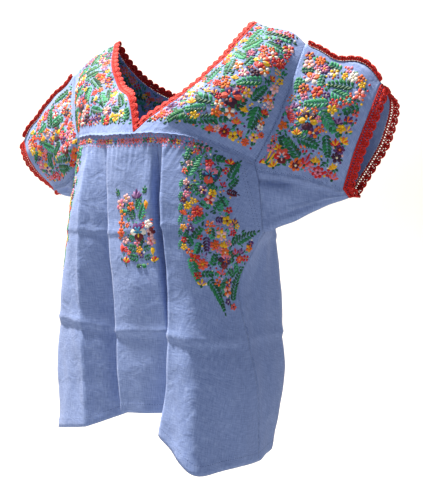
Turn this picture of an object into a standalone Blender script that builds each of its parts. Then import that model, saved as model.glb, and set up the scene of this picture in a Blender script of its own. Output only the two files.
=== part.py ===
"""A short-sleeved huipil blouse in its worn shape: plain cotton cloth, crochet edgings.

Metres, Z up, the blouse faces -Y and its left sleeve points to +X.
The origin is midway between the two shoulder high points of the neck opening.
Every panel is a grid of points with a wall of cloth laid outside it.
"""

import math

import bpy
import numpy as np

CLOTH = 0.0015            # wall of the cotton
CROCHET = 0.0024          # wall of the crochet
THREAD = 0.0010           # depth of the smocking stitches
SEAM_GAP = 0.0003         # between two pieces that are sewn together
LACE_GAP = 0.0004         # between an edging and the cloth that carries it
SCALLOP_PITCH = 0.0130    # one scallop along an edging
NECK_LACE = (0.0080, 0.0130)     # width of the edging at a notch, at a scallop's tip
CUFF_LACE = (0.0110, 0.0165)
RIDGE_LACE = (0.0045, 0.0075)
SMOCKING_TOP = 1          # first and last body rows under the smocking
SMOCKING_FOOT = 2

# How far down each row of the body lies, from the yoke seam (0) to the hem (1).
BODY_ROWS = (0.0, 0.010, 0.042, 0.10, 0.19, 0.28, 0.37, 0.46, 0.55, 0.64, 0.73, 0.82, 0.91, 1.0)
STATIONS = (0.0, 0.28, 0.55, 0.78, 1.0)              # of the five points of a body line
ARMHOLE_FOOT_STATIONS = (0.0, 0.10, 0.28)            # yoke corner, sleeve corner, underarm
SIDE_STATIONS = (0.28, 0.46, 0.64, 0.82, 1.0)        # underarm to hem
SLEEVE_CORNER_ROW = 3
UNDERARM_ROW = 5

# Lines of each body panel that run from the yoke seam to the hem, between its two sides.
# name, five points (top, bust, waist, hip, hem), cells to the next line, sharp fold
FRONT_LINES = (
    ("quarter_right",
     ((-0.148, -0.079, -0.1635), (-0.174, -0.078, -0.290), (-0.189, -0.078, -0.415),
      (-0.196, -0.080, -0.525), (-0.192, -0.080, -0.650)), 3, False),
    ("ridge_right",
     ((-0.112, -0.097, -0.164), (-0.119, -0.121, -0.288), (-0.117, -0.124, -0.400),
      (-0.108, -0.125, -0.510), (-0.096, -0.128, -0.627)), 2, True),
    ("tuck_right_out",
     ((-0.076, -0.112, -0.168), (-0.060, -0.110, -0.288), (-0.050, -0.097, -0.400),
      (-0.044, -0.090, -0.505), (-0.044, -0.090, -0.605)), 1, True),
    ("tuck_right_in",
     ((-0.070, -0.114, -0.169), (-0.050, -0.104, -0.288), (-0.038, -0.090, -0.400),
      (-0.031, -0.083, -0.502), (-0.028, -0.082, -0.602)), 1, True),
    ("centre_right",
     ((-0.063, -0.117, -0.170), (-0.057, -0.123, -0.290), (-0.047, -0.124, -0.398),
      (-0.038, -0.125, -0.500), (-0.031, -0.124, -0.598)), 3, True),
    ("centre",
     ((-0.004, -0.133, -0.173), (-0.010, -0.133, -0.290), (0.002, -0.135, -0.396),
      (0.010, -0.132, -0.496), (0.010, -0.124, -0.594)), 2, False),
    ("centre_left",
     ((0.034, -0.135, -0.174), (0.033, -0.136, -0.288), (0.048, -0.133, -0.394),
      (0.061, -0.128, -0.492), (0.048, -0.110, -0.591)), 1, True),
    ("tuck_left_in",
     ((0.041, -0.1345, -0.175), (0.038, -0.112, -0.288), (0.052, -0.104, -0.396),
      (0.062, -0.096, -0.496), (0.056, -0.086, -0.598)), 1, True),
    ("tuck_left_out",
     ((0.047, -0.134, -0.1755), (0.049, -0.114, -0.290), (0.063, -0.106, -0.400),
      (0.071, -0.100, -0.500), (0.068, -0.092, -0.604)), 1, True),
    ("fold_left",
     ((0.053, -0.133, -0.176), (0.061, -0.150, -0.292), (0.073, -0.149, -0.404),
      (0.074, -0.150, -0.508), (0.059, -0.147, -0.617)), 3, True),
    ("bulge_left",
     ((0.098, -0.118, -0.184), (0.104, -0.137, -0.304), (0.112, -0.140, -0.424),
      (0.124, -0.155, -0.540), (0.134, -0.170, -0.657)), 2, False),
    ("quarter_left",
     ((0.140, -0.091, -0.203), (0.138, -0.112, -0.312), (0.140, -0.116, -0.430),
      (0.152, -0.122, -0.540), (0.158, -0.116, -0.656)), 3, False),
)
BACK_LINES = (
    ("quarter_left",
     ((0.134, 0.059, -0.207), (0.139, 0.047, -0.320), (0.155, 0.046, -0.440),
      (0.158, 0.050, -0.548), (0.141, 0.047, -0.649)), 3, False),
    ("fold_left",
     ((0.082, 0.080, -0.196), (0.080, 0.098, -0.315), (0.090, 0.104, -0.435),
      (0.098, 0.104, -0.545), (0.096, 0.098, -0.646)), 3, False),
    ("centre",
     ((0.000, 0.088, -0.190), (-0.004, 0.090, -0.305), (-0.006, 0.082, -0.425),
      (-0.008, 0.080, -0.538), (-0.010, 0.078, -0.642)), 3, False),
    ("fold_right",
     ((-0.084, 0.079, -0.184), (-0.090, 0.096, -0.305), (-0.104, 0.100, -0.428),
      (-0.116, 0.098, -0.540), (-0.124, 0.092, -0.646)), 3, False),
    ("quarter_right",
     ((-0.136, 0.058, -0.175), (-0.158, 0.058, -0.296), (-0.174, 0.062, -0.425),
      (-0.186, 0.060, -0.540), (-0.190, 0.055, -0.653)), 4, False),
)
SIDE_CELLS = {"front": 3, "back": 4}      # from a side to the first of those lines

# The sides: yoke corner and sleeve corner on each panel, then the shared underarm and side seam.
ARMHOLE_FOOT = {
    ("front", "left"): ((0.167, -0.067, -0.220), (0.170, -0.066, -0.232)),
    ("front", "right"): ((-0.162, -0.068, -0.163), (-0.172, -0.050, -0.210)),
    ("back", "left"): ((0.160, 0.042, -0.214), (0.168, 0.024, -0.246)),
    ("back", "right"): ((-0.160, 0.042, -0.179), (-0.175, 0.022, -0.214)),
}
SIDE_SEAM = {
    "left": ((0.171, -0.050, -0.322), (0.148, -0.080, -0.402), (0.161, -0.068, -0.487),
             (0.174, -0.060, -0.573), (0.171, -0.056, -0.658)),
    "right": ((-0.190, -0.030, -0.264), (-0.197, -0.021, -0.364), (-0.207, -0.020, -0.464),
              (-0.214, -0.022, -0.564), (-0.212, -0.024, -0.664)),
}

# Seams above the body, each side as drawn on the wearer: neck point, then outwards or downwards.
NECK = {
    "left": ((0.139, -0.007, 0.000), (0.125, -0.038, -0.031), (0.102, -0.072, -0.080),
             (0.058, -0.111, -0.128), (0.024, -0.126, -0.152), (-0.004, -0.131, -0.1665)),
    "right": ((-0.139, -0.007, 0.000), (-0.125, -0.030, -0.028), (-0.105, -0.054, -0.056),
              (-0.073, -0.080, -0.092), (-0.028, -0.110, -0.120), (-0.004, -0.131, -0.1665)),
    "back": ((0.139, -0.007, 0.000), (0.132, 0.014, -0.027), (0.112, 0.040, -0.058),
             (0.076, 0.066, -0.082), (0.000, 0.080, -0.090), (-0.080, 0.065, -0.084),
             (-0.114, 0.040, -0.060), (-0.133, 0.014, -0.028), (-0.139, -0.007, 0.000)),
}
RIDGE = {
    "left": ((0.139, -0.007, 0.000), (0.185, -0.012, -0.018), (0.221, -0.012, -0.044)),
    "right": ((-0.139, -0.007, 0.000), (-0.185, -0.012, -0.020), (-0.221, -0.012, -0.047)),
}
SLEEVE_RIDGE = {
    "left": ((0.221, -0.012, -0.044), (0.268, -0.012, -0.066), (0.312, -0.012, -0.088),
             (0.336, -0.012, -0.116)),
    "right": ((-0.221, -0.012, -0.047), (-0.272, -0.012, -0.086), (-0.312, -0.012, -0.116),
              (-0.343, -0.012, -0.152)),
}
ARMHOLE_FRONT = {
    "left": ((0.221, -0.012, -0.044), (0.208, -0.036, -0.110), (0.191, -0.051, -0.165),
             (0.167, -0.067, -0.220)),
    "right": ((-0.221, -0.012, -0.047), (-0.206, -0.036, -0.088), (-0.184, -0.053, -0.128),
              (-0.162, -0.068, -0.163)),
}
ARMHOLE_BACK = {
    "left": ((0.221, -0.012, -0.044), (0.204, 0.018, -0.100), (0.184, 0.034, -0.155),
             (0.160, 0.042, -0.214)),
    "right": ((-0.221, -0.012, -0.047), (-0.206, 0.018, -0.088), (-0.184, 0.034, -0.130),
              (-0.160, 0.042, -0.179)),
}
CUFF_FRONT = {
    "left": ((0.336, -0.012, -0.116), (0.323, -0.016, -0.150), (0.301, -0.012, -0.197),
             (0.274, 0.006, -0.256)),
    "right": ((-0.343, -0.012, -0.152), (-0.326, -0.018, -0.182), (-0.306, -0.012, -0.210),
              (-0.284, 0.004, -0.237)),
}
CUFF_BACK = {
    "left": ((0.336, -0.012, -0.116), (0.337, 0.022, -0.132), (0.318, 0.048, -0.178),
             (0.280, 0.038, -0.250)),
    "right": ((-0.343, -0.012, -0.152), (-0.340, 0.022, -0.164), (-0.322, 0.046, -0.196),
              (-0.292, 0.036, -0.234)),
}
CUFF_FOLD = {"left": (0.276, 0.024, -0.268), "right": (-0.284, 0.022, -0.248)}

# The seam under each sleeve panel passes this point between the body and the cuff.
UNDERSEAM = {
    ("front", "left"): (0.222, -0.040, -0.240), ("front", "right"): (-0.224, -0.034, -0.236),
    ("back", "left"): (0.226, 0.030, -0.258), ("back", "right"): (-0.230, 0.030, -0.230),
}
FOLD_MIDDLE = {"left": (0.228, -0.008, -0.290), "right": (-0.228, 0.000, -0.262)}
SLEEVE_CELLS = 9
ARMHOLE_CELLS = 8
YOKE_BELLY = 0.006        # how far a front yoke swells between its seams
SOFT_BELLY = 0.004        # and a sleeve half or the back yoke
RIDGE_LACE_ENDS = (0.06, 0.15)   # how far it stops short at the armhole and the cuff, in cells
NARROWEST_STEP = 0.0016   # between two corners of an edging

COLOURS = {
    "blue cotton": (0.29, 0.36, 0.55),
    "red crochet": (0.62, 0.05, 0.03),
    "pink thread": (0.52, 0.22, 0.30),
}


def unit(vectors):
    return vectors / np.maximum(np.linalg.norm(vectors, axis=-1, keepdims=True), 1e-12)


def smooth(points, cells, sharp=None):
    """A curve through the points, with cells[i] steps to point i+1. Sharp points keep a corner."""
    points = np.asarray(points, float)
    last = len(points) - 1
    sharp = sharp or [False] * (last + 1)
    step = np.linalg.norm(np.diff(points, axis=0), axis=1)
    slope = np.diff(points, axis=0) / step[:, None]
    found = [points[0]]
    for i in range(last):
        leave = slope[i]
        if i > 0 and not sharp[i]:
            leave = (slope[i - 1] * step[i] + slope[i] * step[i - 1]) / (step[i - 1] + step[i])
        arrive = slope[i]
        if i < last - 1 and not sharp[i + 1]:
            arrive = (slope[i] * step[i + 1] + slope[i + 1] * step[i]) / (step[i] + step[i + 1])
        for k in range(1, cells[i] + 1):
            t = k / cells[i]
            found.append((2 * t**3 - 3 * t**2 + 1) * points[i]
                         + (t**3 - 2 * t**2 + t) * step[i] * leave
                         + (3 * t**2 - 2 * t**3) * points[i + 1]
                         + (t**3 - t**2) * step[i] * arrive)
    return np.array(found)


def at_fractions(points, fractions, stations=None):
    """Points of the smooth curve at given fractions of its length, or of its stations."""
    fine = smooth(points, [40] * (len(points) - 1))
    if stations is None:
        run = np.concatenate([[0], np.cumsum(np.linalg.norm(np.diff(fine, axis=0), axis=1))])
        run /= run[-1]
    else:
        run = np.interp(np.arange(len(fine)) / 40, np.arange(len(points)), stations)
    return np.stack([np.interp(fractions, run, fine[:, k]) for k in range(3)], axis=1)


def even(points, cells):
    return at_fractions(points, np.linspace(0, 1, cells + 1))


def patch(top, foot, left, right, belly=0.0, out=(0, 0, 0)):
    """Fills four boundary curves that share their corners, rows from top to foot."""
    rows, columns = len(left), len(top)
    u = run_of(top)[None, :, None] * 0.5 + run_of(foot)[None, :, None] * 0.5
    v = run_of(left)[:, None, None] * 0.5 + run_of(right)[:, None, None] * 0.5
    ruled = (1 - v) * top[None] + v * foot[None] + (1 - u) * left[:, None] + u * right[:, None]
    corners = ((1 - u) * (1 - v) * top[0] + u * (1 - v) * top[-1]
               + (1 - u) * v * foot[0] + u * v * foot[-1])
    swell = belly * np.sin(math.pi * u) * np.sin(math.pi * v) * unit(np.array(out, float) + 1e-9)
    grid = ruled - corners + swell
    grid[0], grid[-1], grid[:, 0], grid[:, -1] = top, foot, left, right
    return grid.reshape(rows, columns, 3)


def run_of(points):
    run = np.concatenate([[0], np.cumsum(np.linalg.norm(np.diff(points, axis=0), axis=1))])
    return run / run[-1]


def side_column(face, side):
    """One side of a body panel, a point per row: down the armhole's foot, then the side seam."""
    upper = ARMHOLE_FOOT[face, side] + SIDE_SEAM[side][:1]
    rows = np.array(BODY_ROWS)
    above = at_fractions(upper, rows[:UNDERARM_ROW], ARMHOLE_FOOT_STATIONS)
    return np.concatenate([above, at_fractions(SIDE_SEAM[side], rows[UNDERARM_ROW:], SIDE_STATIONS)])


def body_grid(face, lines, first, last):
    columns = [at_fractions(points, BODY_ROWS, STATIONS) for _, points, _, _ in lines]
    columns = [side_column(face, first)] + columns + [side_column(face, last)]
    cells = [SIDE_CELLS[face]] + [line[2] for line in lines]
    sharp = [False] + [line[3] for line in lines] + [False]
    return np.array([smooth([column[row] for column in columns], cells, sharp)
                     for row in range(len(BODY_ROWS))])


def column_of(face, name):
    lines = FRONT_LINES if face == "front" else BACK_LINES
    names = [line[0] for line in lines]
    return SIDE_CELLS[face] + sum(line[2] for line in lines[:names.index(name)])


def grid_normals(grid, out):
    """Unit normals of a grid, turned to the side that `out` points to at its middle."""
    du = np.gradient(grid, axis=1)
    dv = np.gradient(grid, axis=0)
    normals = unit(np.cross(du, dv))
    middle = normals[grid.shape[0] // 2, grid.shape[1] // 2]
    return normals if middle @ np.array(out, float) > 0 else -normals


def keys_of(points):
    return [tuple(row) for row in np.round(points.reshape(-1, 3) * 1e5).astype(int)]


def shared_offsets(panels):
    """Outward steps, one per grid point, that neighbouring panels agree on at their seams."""
    total = {}
    own = {name: grid_normals(grid, out) for name, (grid, out, _) in panels.items()}
    for name, (grid, _, _) in panels.items():
        for key, normal in zip(keys_of(grid), own[name].reshape(-1, 3)):
            total[key] = total.get(key, 0) + normal
    offsets = {}
    for name, (grid, _, _) in panels.items():
        normals = own[name].reshape(-1, 3)
        shared = unit(np.array([total[key] for key in keys_of(grid)]))
        lean = np.clip((shared * normals).sum(axis=1), 0.55, 1)[:, None]
        offsets[name] = (shared / lean).reshape(grid.shape)
    return offsets


def inset(grid, steps, edges, gap):
    """Draws the sewn edges of a grid back by `gap`, square to the wall that they share."""
    picks = {"top": ((0, slice(None)), (1, slice(None))), "foot": ((-1, slice(None)), (-2, slice(None))),
             "left": ((slice(None), 0), (slice(None), 1)),
             "right": ((slice(None), -1), (slice(None), -2))}
    moved = grid.copy()
    for edge in edges:
        rim, inner = picks[edge]
        away = unit(np.cross(np.gradient(grid[rim], axis=0), steps[rim]))
        moved[rim] += gap * away * np.sign((away * (grid[inner] - grid[rim])).sum(axis=1, keepdims=True))
    return moved


def wall_mesh(inner, outer, ring=False):
    """Vertices and faces of the closed wall between two grids. A ring joins its last column."""
    rows, columns = inner.shape[:2]
    points = np.concatenate([inner.reshape(-1, 3), outer.reshape(-1, 3)])
    half = rows * columns
    wide = columns if ring else columns - 1
    faces = []
    for r in range(rows - 1):
        for c in range(wide):
            n = (c + 1) % columns
            a, b = r * columns + c, r * columns + n
            d, e = (r + 1) * columns + c, (r + 1) * columns + n
            faces += [(a, b, e), (a, e, d), (half + a, half + e, half + b),
                      (half + a, half + d, half + e)]
    rim = [(c, (c + 1) % columns) for c in range(wide)]
    rim += [((rows - 1) * columns + (c + 1) % columns, (rows - 1) * columns + c)
            for c in range(wide)]
    if not ring:
        rim += [((r + 1) * columns, r * columns) for r in range(rows - 1)]
        rim += [(r * columns + columns - 1, (r + 1) * columns + columns - 1)
                for r in range(rows - 1)]
    faces += [face for a, b in rim for face in ((a, half + a, half + b), (a, half + b, b))]
    return points, faces


def add_solid(name, finish, points, faces):
    faces = [tuple(face) for face in faces]
    corners = points[np.array(faces)]
    volume = np.einsum("ij,ij->i", corners[:, 0], np.cross(corners[:, 1], corners[:, 2])).sum()
    if volume < 0:
        faces = [face[::-1] for face in faces]
    mesh = bpy.data.meshes.new(name)
    mesh.from_pydata(points.tolist(), [], faces)
    mesh.update()
    material = bpy.data.materials.new(f"{finish}, {name}")
    material.use_nodes = True
    shader = material.node_tree.nodes["Principled BSDF"]
    shader.inputs["Base Color"].default_value = (*COLOURS[finish], 1)
    shader.inputs["Roughness"].default_value = 0.9
    mesh.materials.append(material)
    obj = bpy.data.objects.new(name, mesh)
    bpy.context.scene.collection.objects.link(obj)
    return obj


def scalloped(line, reach, thick, widths, gap, ring=False):
    """Two grids for an edging: it follows `line`, reaches along `reach`, notches and tips in turn."""
    closed = np.concatenate([line, line[:1]]) if ring else line
    reaches = np.concatenate([reach, reach[:1]]) if ring else reach
    thicks = np.concatenate([thick, thick[:1]]) if ring else thick
    run = np.concatenate([[0], np.cumsum(np.linalg.norm(np.diff(closed, axis=0), axis=1))])
    scallops = max(1, round(run[-1] / SCALLOP_PITCH))
    here = np.linspace(0, run[-1], 2 * scallops + 1)
    # Every corner of the cloth's edge stays a corner of the edging, so the two run side by side.
    here = np.array(sorted(set(np.round(here, 6)) | set(np.round(run, 6))))
    keep = [here[0]]
    for value in here[1:]:
        corner = np.abs(run - value).min() < 1e-6
        if value - keep[-1] > NARROWEST_STEP or corner:
            if corner and value - keep[-1] <= NARROWEST_STEP and len(keep) > 1 \
                    and np.abs(run - keep[-1]).min() > 1e-6:
                keep.pop()
            keep.append(value)
    here = np.array(keep[:-1] if ring else keep)
    at = lambda values: np.stack([np.interp(here, run, values[:, k]) for k in range(3)], axis=1)
    base, along, across = at(closed), at(reaches), at(thicks)
    phase = here / run[-1] * scallops
    swing = 0.5 - 0.5 * np.cos(2 * math.pi * phase)
    width = widths[0] + (widths[1] - widths[0]) * swing
    near = base + gap * along
    far = base + width[:, None] * along
    grid = np.stack([near, far])
    half = 0.5 * CROCHET * unit(across)[None]
    return grid - half, grid + half


def perpendicular(line, normals, toward, ring=False):
    """Mitred steps away from a polyline, in the plane across `normals`, on the side of `toward`."""
    turn = (lambda a: np.roll(a, -1, axis=0)) if ring else (lambda a: a[1:])
    here = (lambda a: a) if ring else (lambda a: a[:-1])
    steps = unit(np.cross(turn(line) - here(line), turn(normals) + here(normals)))
    steps *= np.sign((steps * (turn(toward) + here(toward))).sum(axis=1, keepdims=True))
    if ring:
        before, after = np.roll(steps, 1, axis=0), steps
    else:
        before, after = np.concatenate([steps[:1], steps]), np.concatenate([steps, steps[-1:]])
    return (before + after) / (1 + (before * after).sum(axis=1, keepdims=True))


def main():
    for obj in list(bpy.data.objects):
        bpy.data.objects.remove(obj, do_unlink=True)

    front = body_grid("front", FRONT_LINES, "right", "left")
    back = body_grid("back", BACK_LINES, "left", "right")
    # grid, a direction that its outside faces, the edges that are sewn to another panel
    panels = {
        "body_front": (front, (0, -1, 0), ("top", "left", "right")),
        "body_back": (back, (0, 1, 0), ("top", "left", "right")),
    }
    sides = {("front", "right"): front[:, 0], ("front", "left"): front[:, -1],
             ("back", "left"): back[:, 0], ("back", "right"): back[:, -1]}
    middle = column_of("front", "centre")
    yoke_foot = {"left": front[0, middle:], "right": front[0, :middle + 1][::-1]}

    for side in ("left", "right"):
        foot = yoke_foot[side]
        neck = even(NECK[side][:-1] + (tuple(foot[0]),), ARMHOLE_CELLS)
        grid = patch(even(RIDGE[side], len(foot) - 1), foot, neck,
                     even(ARMHOLE_FRONT[side], ARMHOLE_CELLS), YOKE_BELLY, (0, -1, 0.3))
        panels[f"yoke_front_{side}"] = (grid, (0, -1, 0.3), ("top", "foot", "right"))

        top = even(SLEEVE_RIDGE[side], SLEEVE_CELLS)
        underarm = sides["front", side][UNDERARM_ROW]
        fold = even((tuple(underarm), FOLD_MIDDLE[side], CUFF_FOLD[side]), SLEEVE_CELLS)
        halves = []
        for face, out, armhole, cuff_points in (
                ("front", (0, -1, 0.2), ARMHOLE_FRONT, CUFF_FRONT),
                ("back", (0, 1, 0.2), ARMHOLE_BACK, CUFF_BACK)):
            below = sides[face, side][:SLEEVE_CORNER_ROW + 1]
            inner = np.concatenate([even(armhole[side], ARMHOLE_CELLS), below[1:]])
            cuff = even(cuff_points[side], len(inner) - 1)
            foot = even((tuple(inner[-1]), UNDERSEAM[face, side], tuple(cuff[-1])), SLEEVE_CELLS)
            panels[f"sleeve_{side}_{face}"] = (patch(top, foot, inner, cuff, SOFT_BELLY, out), out,
                                               ("top", "foot", "left"))
            down = sides[face, side][SLEEVE_CORNER_ROW:UNDERARM_ROW + 1]
            end = even((tuple(cuff[-1]), CUFF_FOLD[side]), len(down) - 1)
            halves.append(patch(foot, fold, down, end))
        gusset = np.concatenate([halves[0], halves[1][::-1][1:]])
        panels[f"gusset_{side}"] = (gusset, (0, 0, -1), ("top", "foot", "left"))

    shoulder = {side: np.concatenate([even(RIDGE[side], len(yoke_foot[side]) - 1),
                                      even(ARMHOLE_BACK[side], ARMHOLE_CELLS)[1:]])
                for side in ("left", "right")}
    grid = patch(even(NECK["back"], back.shape[1] - 1), back[0], shoulder["left"],
                 shoulder["right"], SOFT_BELLY, (0, 1, 0.3))
    panels["yoke_back"] = (grid, (0, 1, 0.3), ("foot", "left", "right"))

    offsets = shared_offsets(panels)
    for name, (grid, _, sewn) in panels.items():
        # The gusset meets the body at an angle, so it is held a little further back.
        inner = inset(grid, offsets[name], sewn, SEAM_GAP * (1.3 if "gusset" in name else 0.5))
        add_solid(name, "blue cotton", *wall_mesh(inner, inner + CLOTH * offsets[name]))

    # The smocking lies on the front panel, just under the yoke seam.
    first, last = column_of("front", "quarter_right"), column_of("front", "bulge_left")
    under = front[SMOCKING_TOP:SMOCKING_FOOT + 1, first:last + 1]
    lift = offsets["body_front"][SMOCKING_TOP:SMOCKING_FOOT + 1, first:last + 1]
    add_solid("smocking_band", "pink thread",
              *wall_mesh(under + (CLOTH + SEAM_GAP) * lift, under + (CLOTH + SEAM_GAP + THREAD) * lift))

    def edge_of(name, pick):
        """An edge of a panel at mid-wall, its outward steps, and the way out past the edge."""
        grid, steps = panels[name][0], offsets[name]
        beyond = {"top": grid[0] - grid[1], "left": grid[:, 0] - grid[:, 1],
                  "right": grid[:, -1] - grid[:, -2]}[pick]
        rows = {"top": (0, slice(None)), "left": (slice(None), 0), "right": (slice(None), -1)}[pick]
        return np.stack([grid[rows] + 0.5 * CLOTH * steps[rows], unit(steps[rows]), unit(beyond)])

    def ring_of(edges):
        """Joins edges end to end; each shares its last point with the next one's first."""
        joined = [edge[:, :-1] for edge in edges]
        for i, edge in enumerate(edges):
            joined[i][2, 0] = 0.5 * (edge[2, 0] + edges[i - 1][2, -1])
        return np.concatenate(joined, axis=1)

    ring = ring_of([edge_of("yoke_front_left", "left"),
                    edge_of("yoke_front_right", "left")[:, ::-1],
                    edge_of("yoke_back", "top")[:, ::-1]])
    reach = perpendicular(ring[0], ring[1], ring[2], ring=True)
    add_solid("neck_edging", "red crochet",
              *wall_mesh(*scalloped(ring[0], reach, ring[1], NECK_LACE, LACE_GAP, ring=True),
                         ring=True))

    for side in ("left", "right"):
        ring = ring_of([edge_of(f"sleeve_{side}_front", "right"), edge_of(f"gusset_{side}", "right"),
                        edge_of(f"sleeve_{side}_back", "right")[:, ::-1]])
        reach = perpendicular(ring[0], ring[1], ring[2], ring=True)
        add_solid(f"cuff_edging_{side}", "red crochet",
                  *wall_mesh(*scalloped(ring[0], reach, ring[1], CUFF_LACE, LACE_GAP, ring=True),
                             ring=True))
        grid, steps = panels[f"sleeve_{side}_front"][0], offsets[f"sleeve_{side}_front"]
        line, up = grid[0] + CLOTH * steps[0], unit(steps[0])
        line[0] += RIDGE_LACE_ENDS[0] * (line[1] - line[0])
        line[-1] += RIDGE_LACE_ENDS[1] * (line[-2] - line[-1])
        thick = unit(np.cross(up, np.gradient(line, axis=0)))
        add_solid(f"sleeve_seam_edging_{side}", "red crochet",
                  *wall_mesh(*scalloped(line, up, thick, RIDGE_LACE, SEAM_GAP)))


main()
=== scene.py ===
import math
import bpy
import numpy as np
from mathutils import Matrix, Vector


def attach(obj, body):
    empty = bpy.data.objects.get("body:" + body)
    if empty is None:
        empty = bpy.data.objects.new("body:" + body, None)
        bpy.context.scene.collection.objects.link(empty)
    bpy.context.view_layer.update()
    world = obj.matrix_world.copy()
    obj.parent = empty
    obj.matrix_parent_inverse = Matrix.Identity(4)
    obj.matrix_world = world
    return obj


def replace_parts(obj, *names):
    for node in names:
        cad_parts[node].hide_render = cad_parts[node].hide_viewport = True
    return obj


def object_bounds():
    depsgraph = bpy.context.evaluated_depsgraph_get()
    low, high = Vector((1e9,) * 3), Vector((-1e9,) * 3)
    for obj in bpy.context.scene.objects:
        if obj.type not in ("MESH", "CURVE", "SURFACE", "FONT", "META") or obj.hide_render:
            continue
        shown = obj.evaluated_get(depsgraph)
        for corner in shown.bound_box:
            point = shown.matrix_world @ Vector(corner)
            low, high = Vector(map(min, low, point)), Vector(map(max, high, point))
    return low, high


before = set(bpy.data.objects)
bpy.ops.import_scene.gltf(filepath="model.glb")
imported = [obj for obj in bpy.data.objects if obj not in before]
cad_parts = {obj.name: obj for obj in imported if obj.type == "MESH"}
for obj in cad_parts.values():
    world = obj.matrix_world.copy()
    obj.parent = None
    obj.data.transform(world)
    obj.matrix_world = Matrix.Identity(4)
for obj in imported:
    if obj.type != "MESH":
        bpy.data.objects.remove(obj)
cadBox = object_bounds()
rng = np.random.default_rng(7)      # every small irregularity is drawn from this, in one order

# Shares of the way from the yoke seam to the hem
bodyStations = (0.0, 0.28, 0.55, 0.78, 1.0)      # the five points of a body line
armholeFootStations = (0.0, 0.10, 0.28)          # yoke corner, sleeve corner, underarm
sideStations = (0.28, 0.46, 0.64, 0.82, 1.0)     # underarm to hem

# Lines of each body panel that run from the yoke seam to the hem, between its two sides:
# name, five points (top, bust, waist, hip, hem), cells to the next line, sharp fold
frontLines = (
    ("quarter_right",
     ((-0.148, -0.079, -0.1635), (-0.174, -0.078, -0.290), (-0.189, -0.078, -0.415),
      (-0.196, -0.080, -0.525), (-0.192, -0.080, -0.650)), 3, False),
    ("ridge_right",
     ((-0.112, -0.097, -0.164), (-0.119, -0.121, -0.288), (-0.117, -0.124, -0.400),
      (-0.108, -0.125, -0.510), (-0.096, -0.128, -0.627)), 2, True),
    ("tuck_right_out",
     ((-0.076, -0.112, -0.168), (-0.060, -0.110, -0.288), (-0.050, -0.097, -0.400),
      (-0.044, -0.090, -0.505), (-0.044, -0.090, -0.605)), 1, True),
    ("tuck_right_in",
     ((-0.070, -0.114, -0.169), (-0.050, -0.104, -0.288), (-0.038, -0.090, -0.400),
      (-0.031, -0.083, -0.502), (-0.028, -0.082, -0.602)), 1, True),
    ("centre_right",
     ((-0.063, -0.117, -0.170), (-0.057, -0.123, -0.290), (-0.047, -0.124, -0.398),
      (-0.038, -0.125, -0.500), (-0.031, -0.124, -0.598)), 3, True),
    ("centre",
     ((-0.004, -0.133, -0.173), (-0.010, -0.133, -0.290), (0.002, -0.135, -0.396),
      (0.010, -0.132, -0.496), (0.010, -0.124, -0.594)), 2, False),
    ("centre_left",
     ((0.034, -0.135, -0.174), (0.033, -0.136, -0.288), (0.048, -0.133, -0.394),
      (0.061, -0.128, -0.492), (0.048, -0.110, -0.591)), 1, True),
    ("tuck_left_in",
     ((0.041, -0.1345, -0.175), (0.038, -0.112, -0.288), (0.052, -0.104, -0.396),
      (0.062, -0.096, -0.496), (0.056, -0.086, -0.598)), 1, True),
    ("tuck_left_out",
     ((0.047, -0.134, -0.1755), (0.049, -0.114, -0.290), (0.063, -0.106, -0.400),
      (0.071, -0.100, -0.500), (0.068, -0.092, -0.604)), 1, True),
    ("fold_left",
     ((0.053, -0.133, -0.176), (0.061, -0.150, -0.292), (0.073, -0.149, -0.404),
      (0.074, -0.150, -0.508), (0.059, -0.147, -0.617)), 3, True),
    ("bulge_left",
     ((0.098, -0.118, -0.184), (0.104, -0.137, -0.304), (0.112, -0.140, -0.424),
      (0.124, -0.155, -0.540), (0.134, -0.170, -0.657)), 2, False),
    ("quarter_left",
     ((0.140, -0.091, -0.203), (0.138, -0.112, -0.312), (0.140, -0.116, -0.430),
      (0.152, -0.122, -0.540), (0.158, -0.116, -0.656)), 3, False),
)
backLines = (
    ("quarter_left",
     ((0.134, 0.059, -0.207), (0.139, 0.047, -0.320), (0.155, 0.046, -0.440),
      (0.158, 0.050, -0.548), (0.141, 0.047, -0.649)), 3, False),
    ("fold_left",
     ((0.082, 0.080, -0.196), (0.080, 0.098, -0.315), (0.090, 0.104, -0.435),
      (0.098, 0.104, -0.545), (0.096, 0.098, -0.646)), 3, False),
    ("centre",
     ((0.000, 0.088, -0.190), (-0.004, 0.090, -0.305), (-0.006, 0.082, -0.425),
      (-0.008, 0.080, -0.538), (-0.010, 0.078, -0.642)), 3, False),
    ("fold_right",
     ((-0.084, 0.079, -0.184), (-0.090, 0.096, -0.305), (-0.104, 0.100, -0.428),
      (-0.116, 0.098, -0.540), (-0.124, 0.092, -0.646)), 3, False),
    ("quarter_right",
     ((-0.136, 0.058, -0.175), (-0.158, 0.058, -0.296), (-0.174, 0.062, -0.425),
      (-0.186, 0.060, -0.540), (-0.190, 0.055, -0.653)), 4, False),
)
sideCells = {"front": 3, "back": 4}      # from a side to the first of those lines

# The sides: yoke corner and sleeve corner on each panel, then the shared underarm and side seam.
armholeFoot = {
    ("front", "left"): ((0.167, -0.067, -0.220), (0.170, -0.066, -0.232)),
    ("front", "right"): ((-0.162, -0.068, -0.163), (-0.172, -0.050, -0.210)),
    ("back", "left"): ((0.160, 0.042, -0.214), (0.168, 0.024, -0.246)),
    ("back", "right"): ((-0.160, 0.042, -0.179), (-0.175, 0.022, -0.214)),
}
sideSeam = {
    "left": ((0.171, -0.050, -0.322), (0.148, -0.080, -0.402), (0.161, -0.068, -0.487),
             (0.174, -0.060, -0.573), (0.171, -0.056, -0.658)),
    "right": ((-0.190, -0.030, -0.264), (-0.197, -0.021, -0.364), (-0.207, -0.020, -0.464),
              (-0.214, -0.022, -0.564), (-0.212, -0.024, -0.664)),
}

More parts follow.
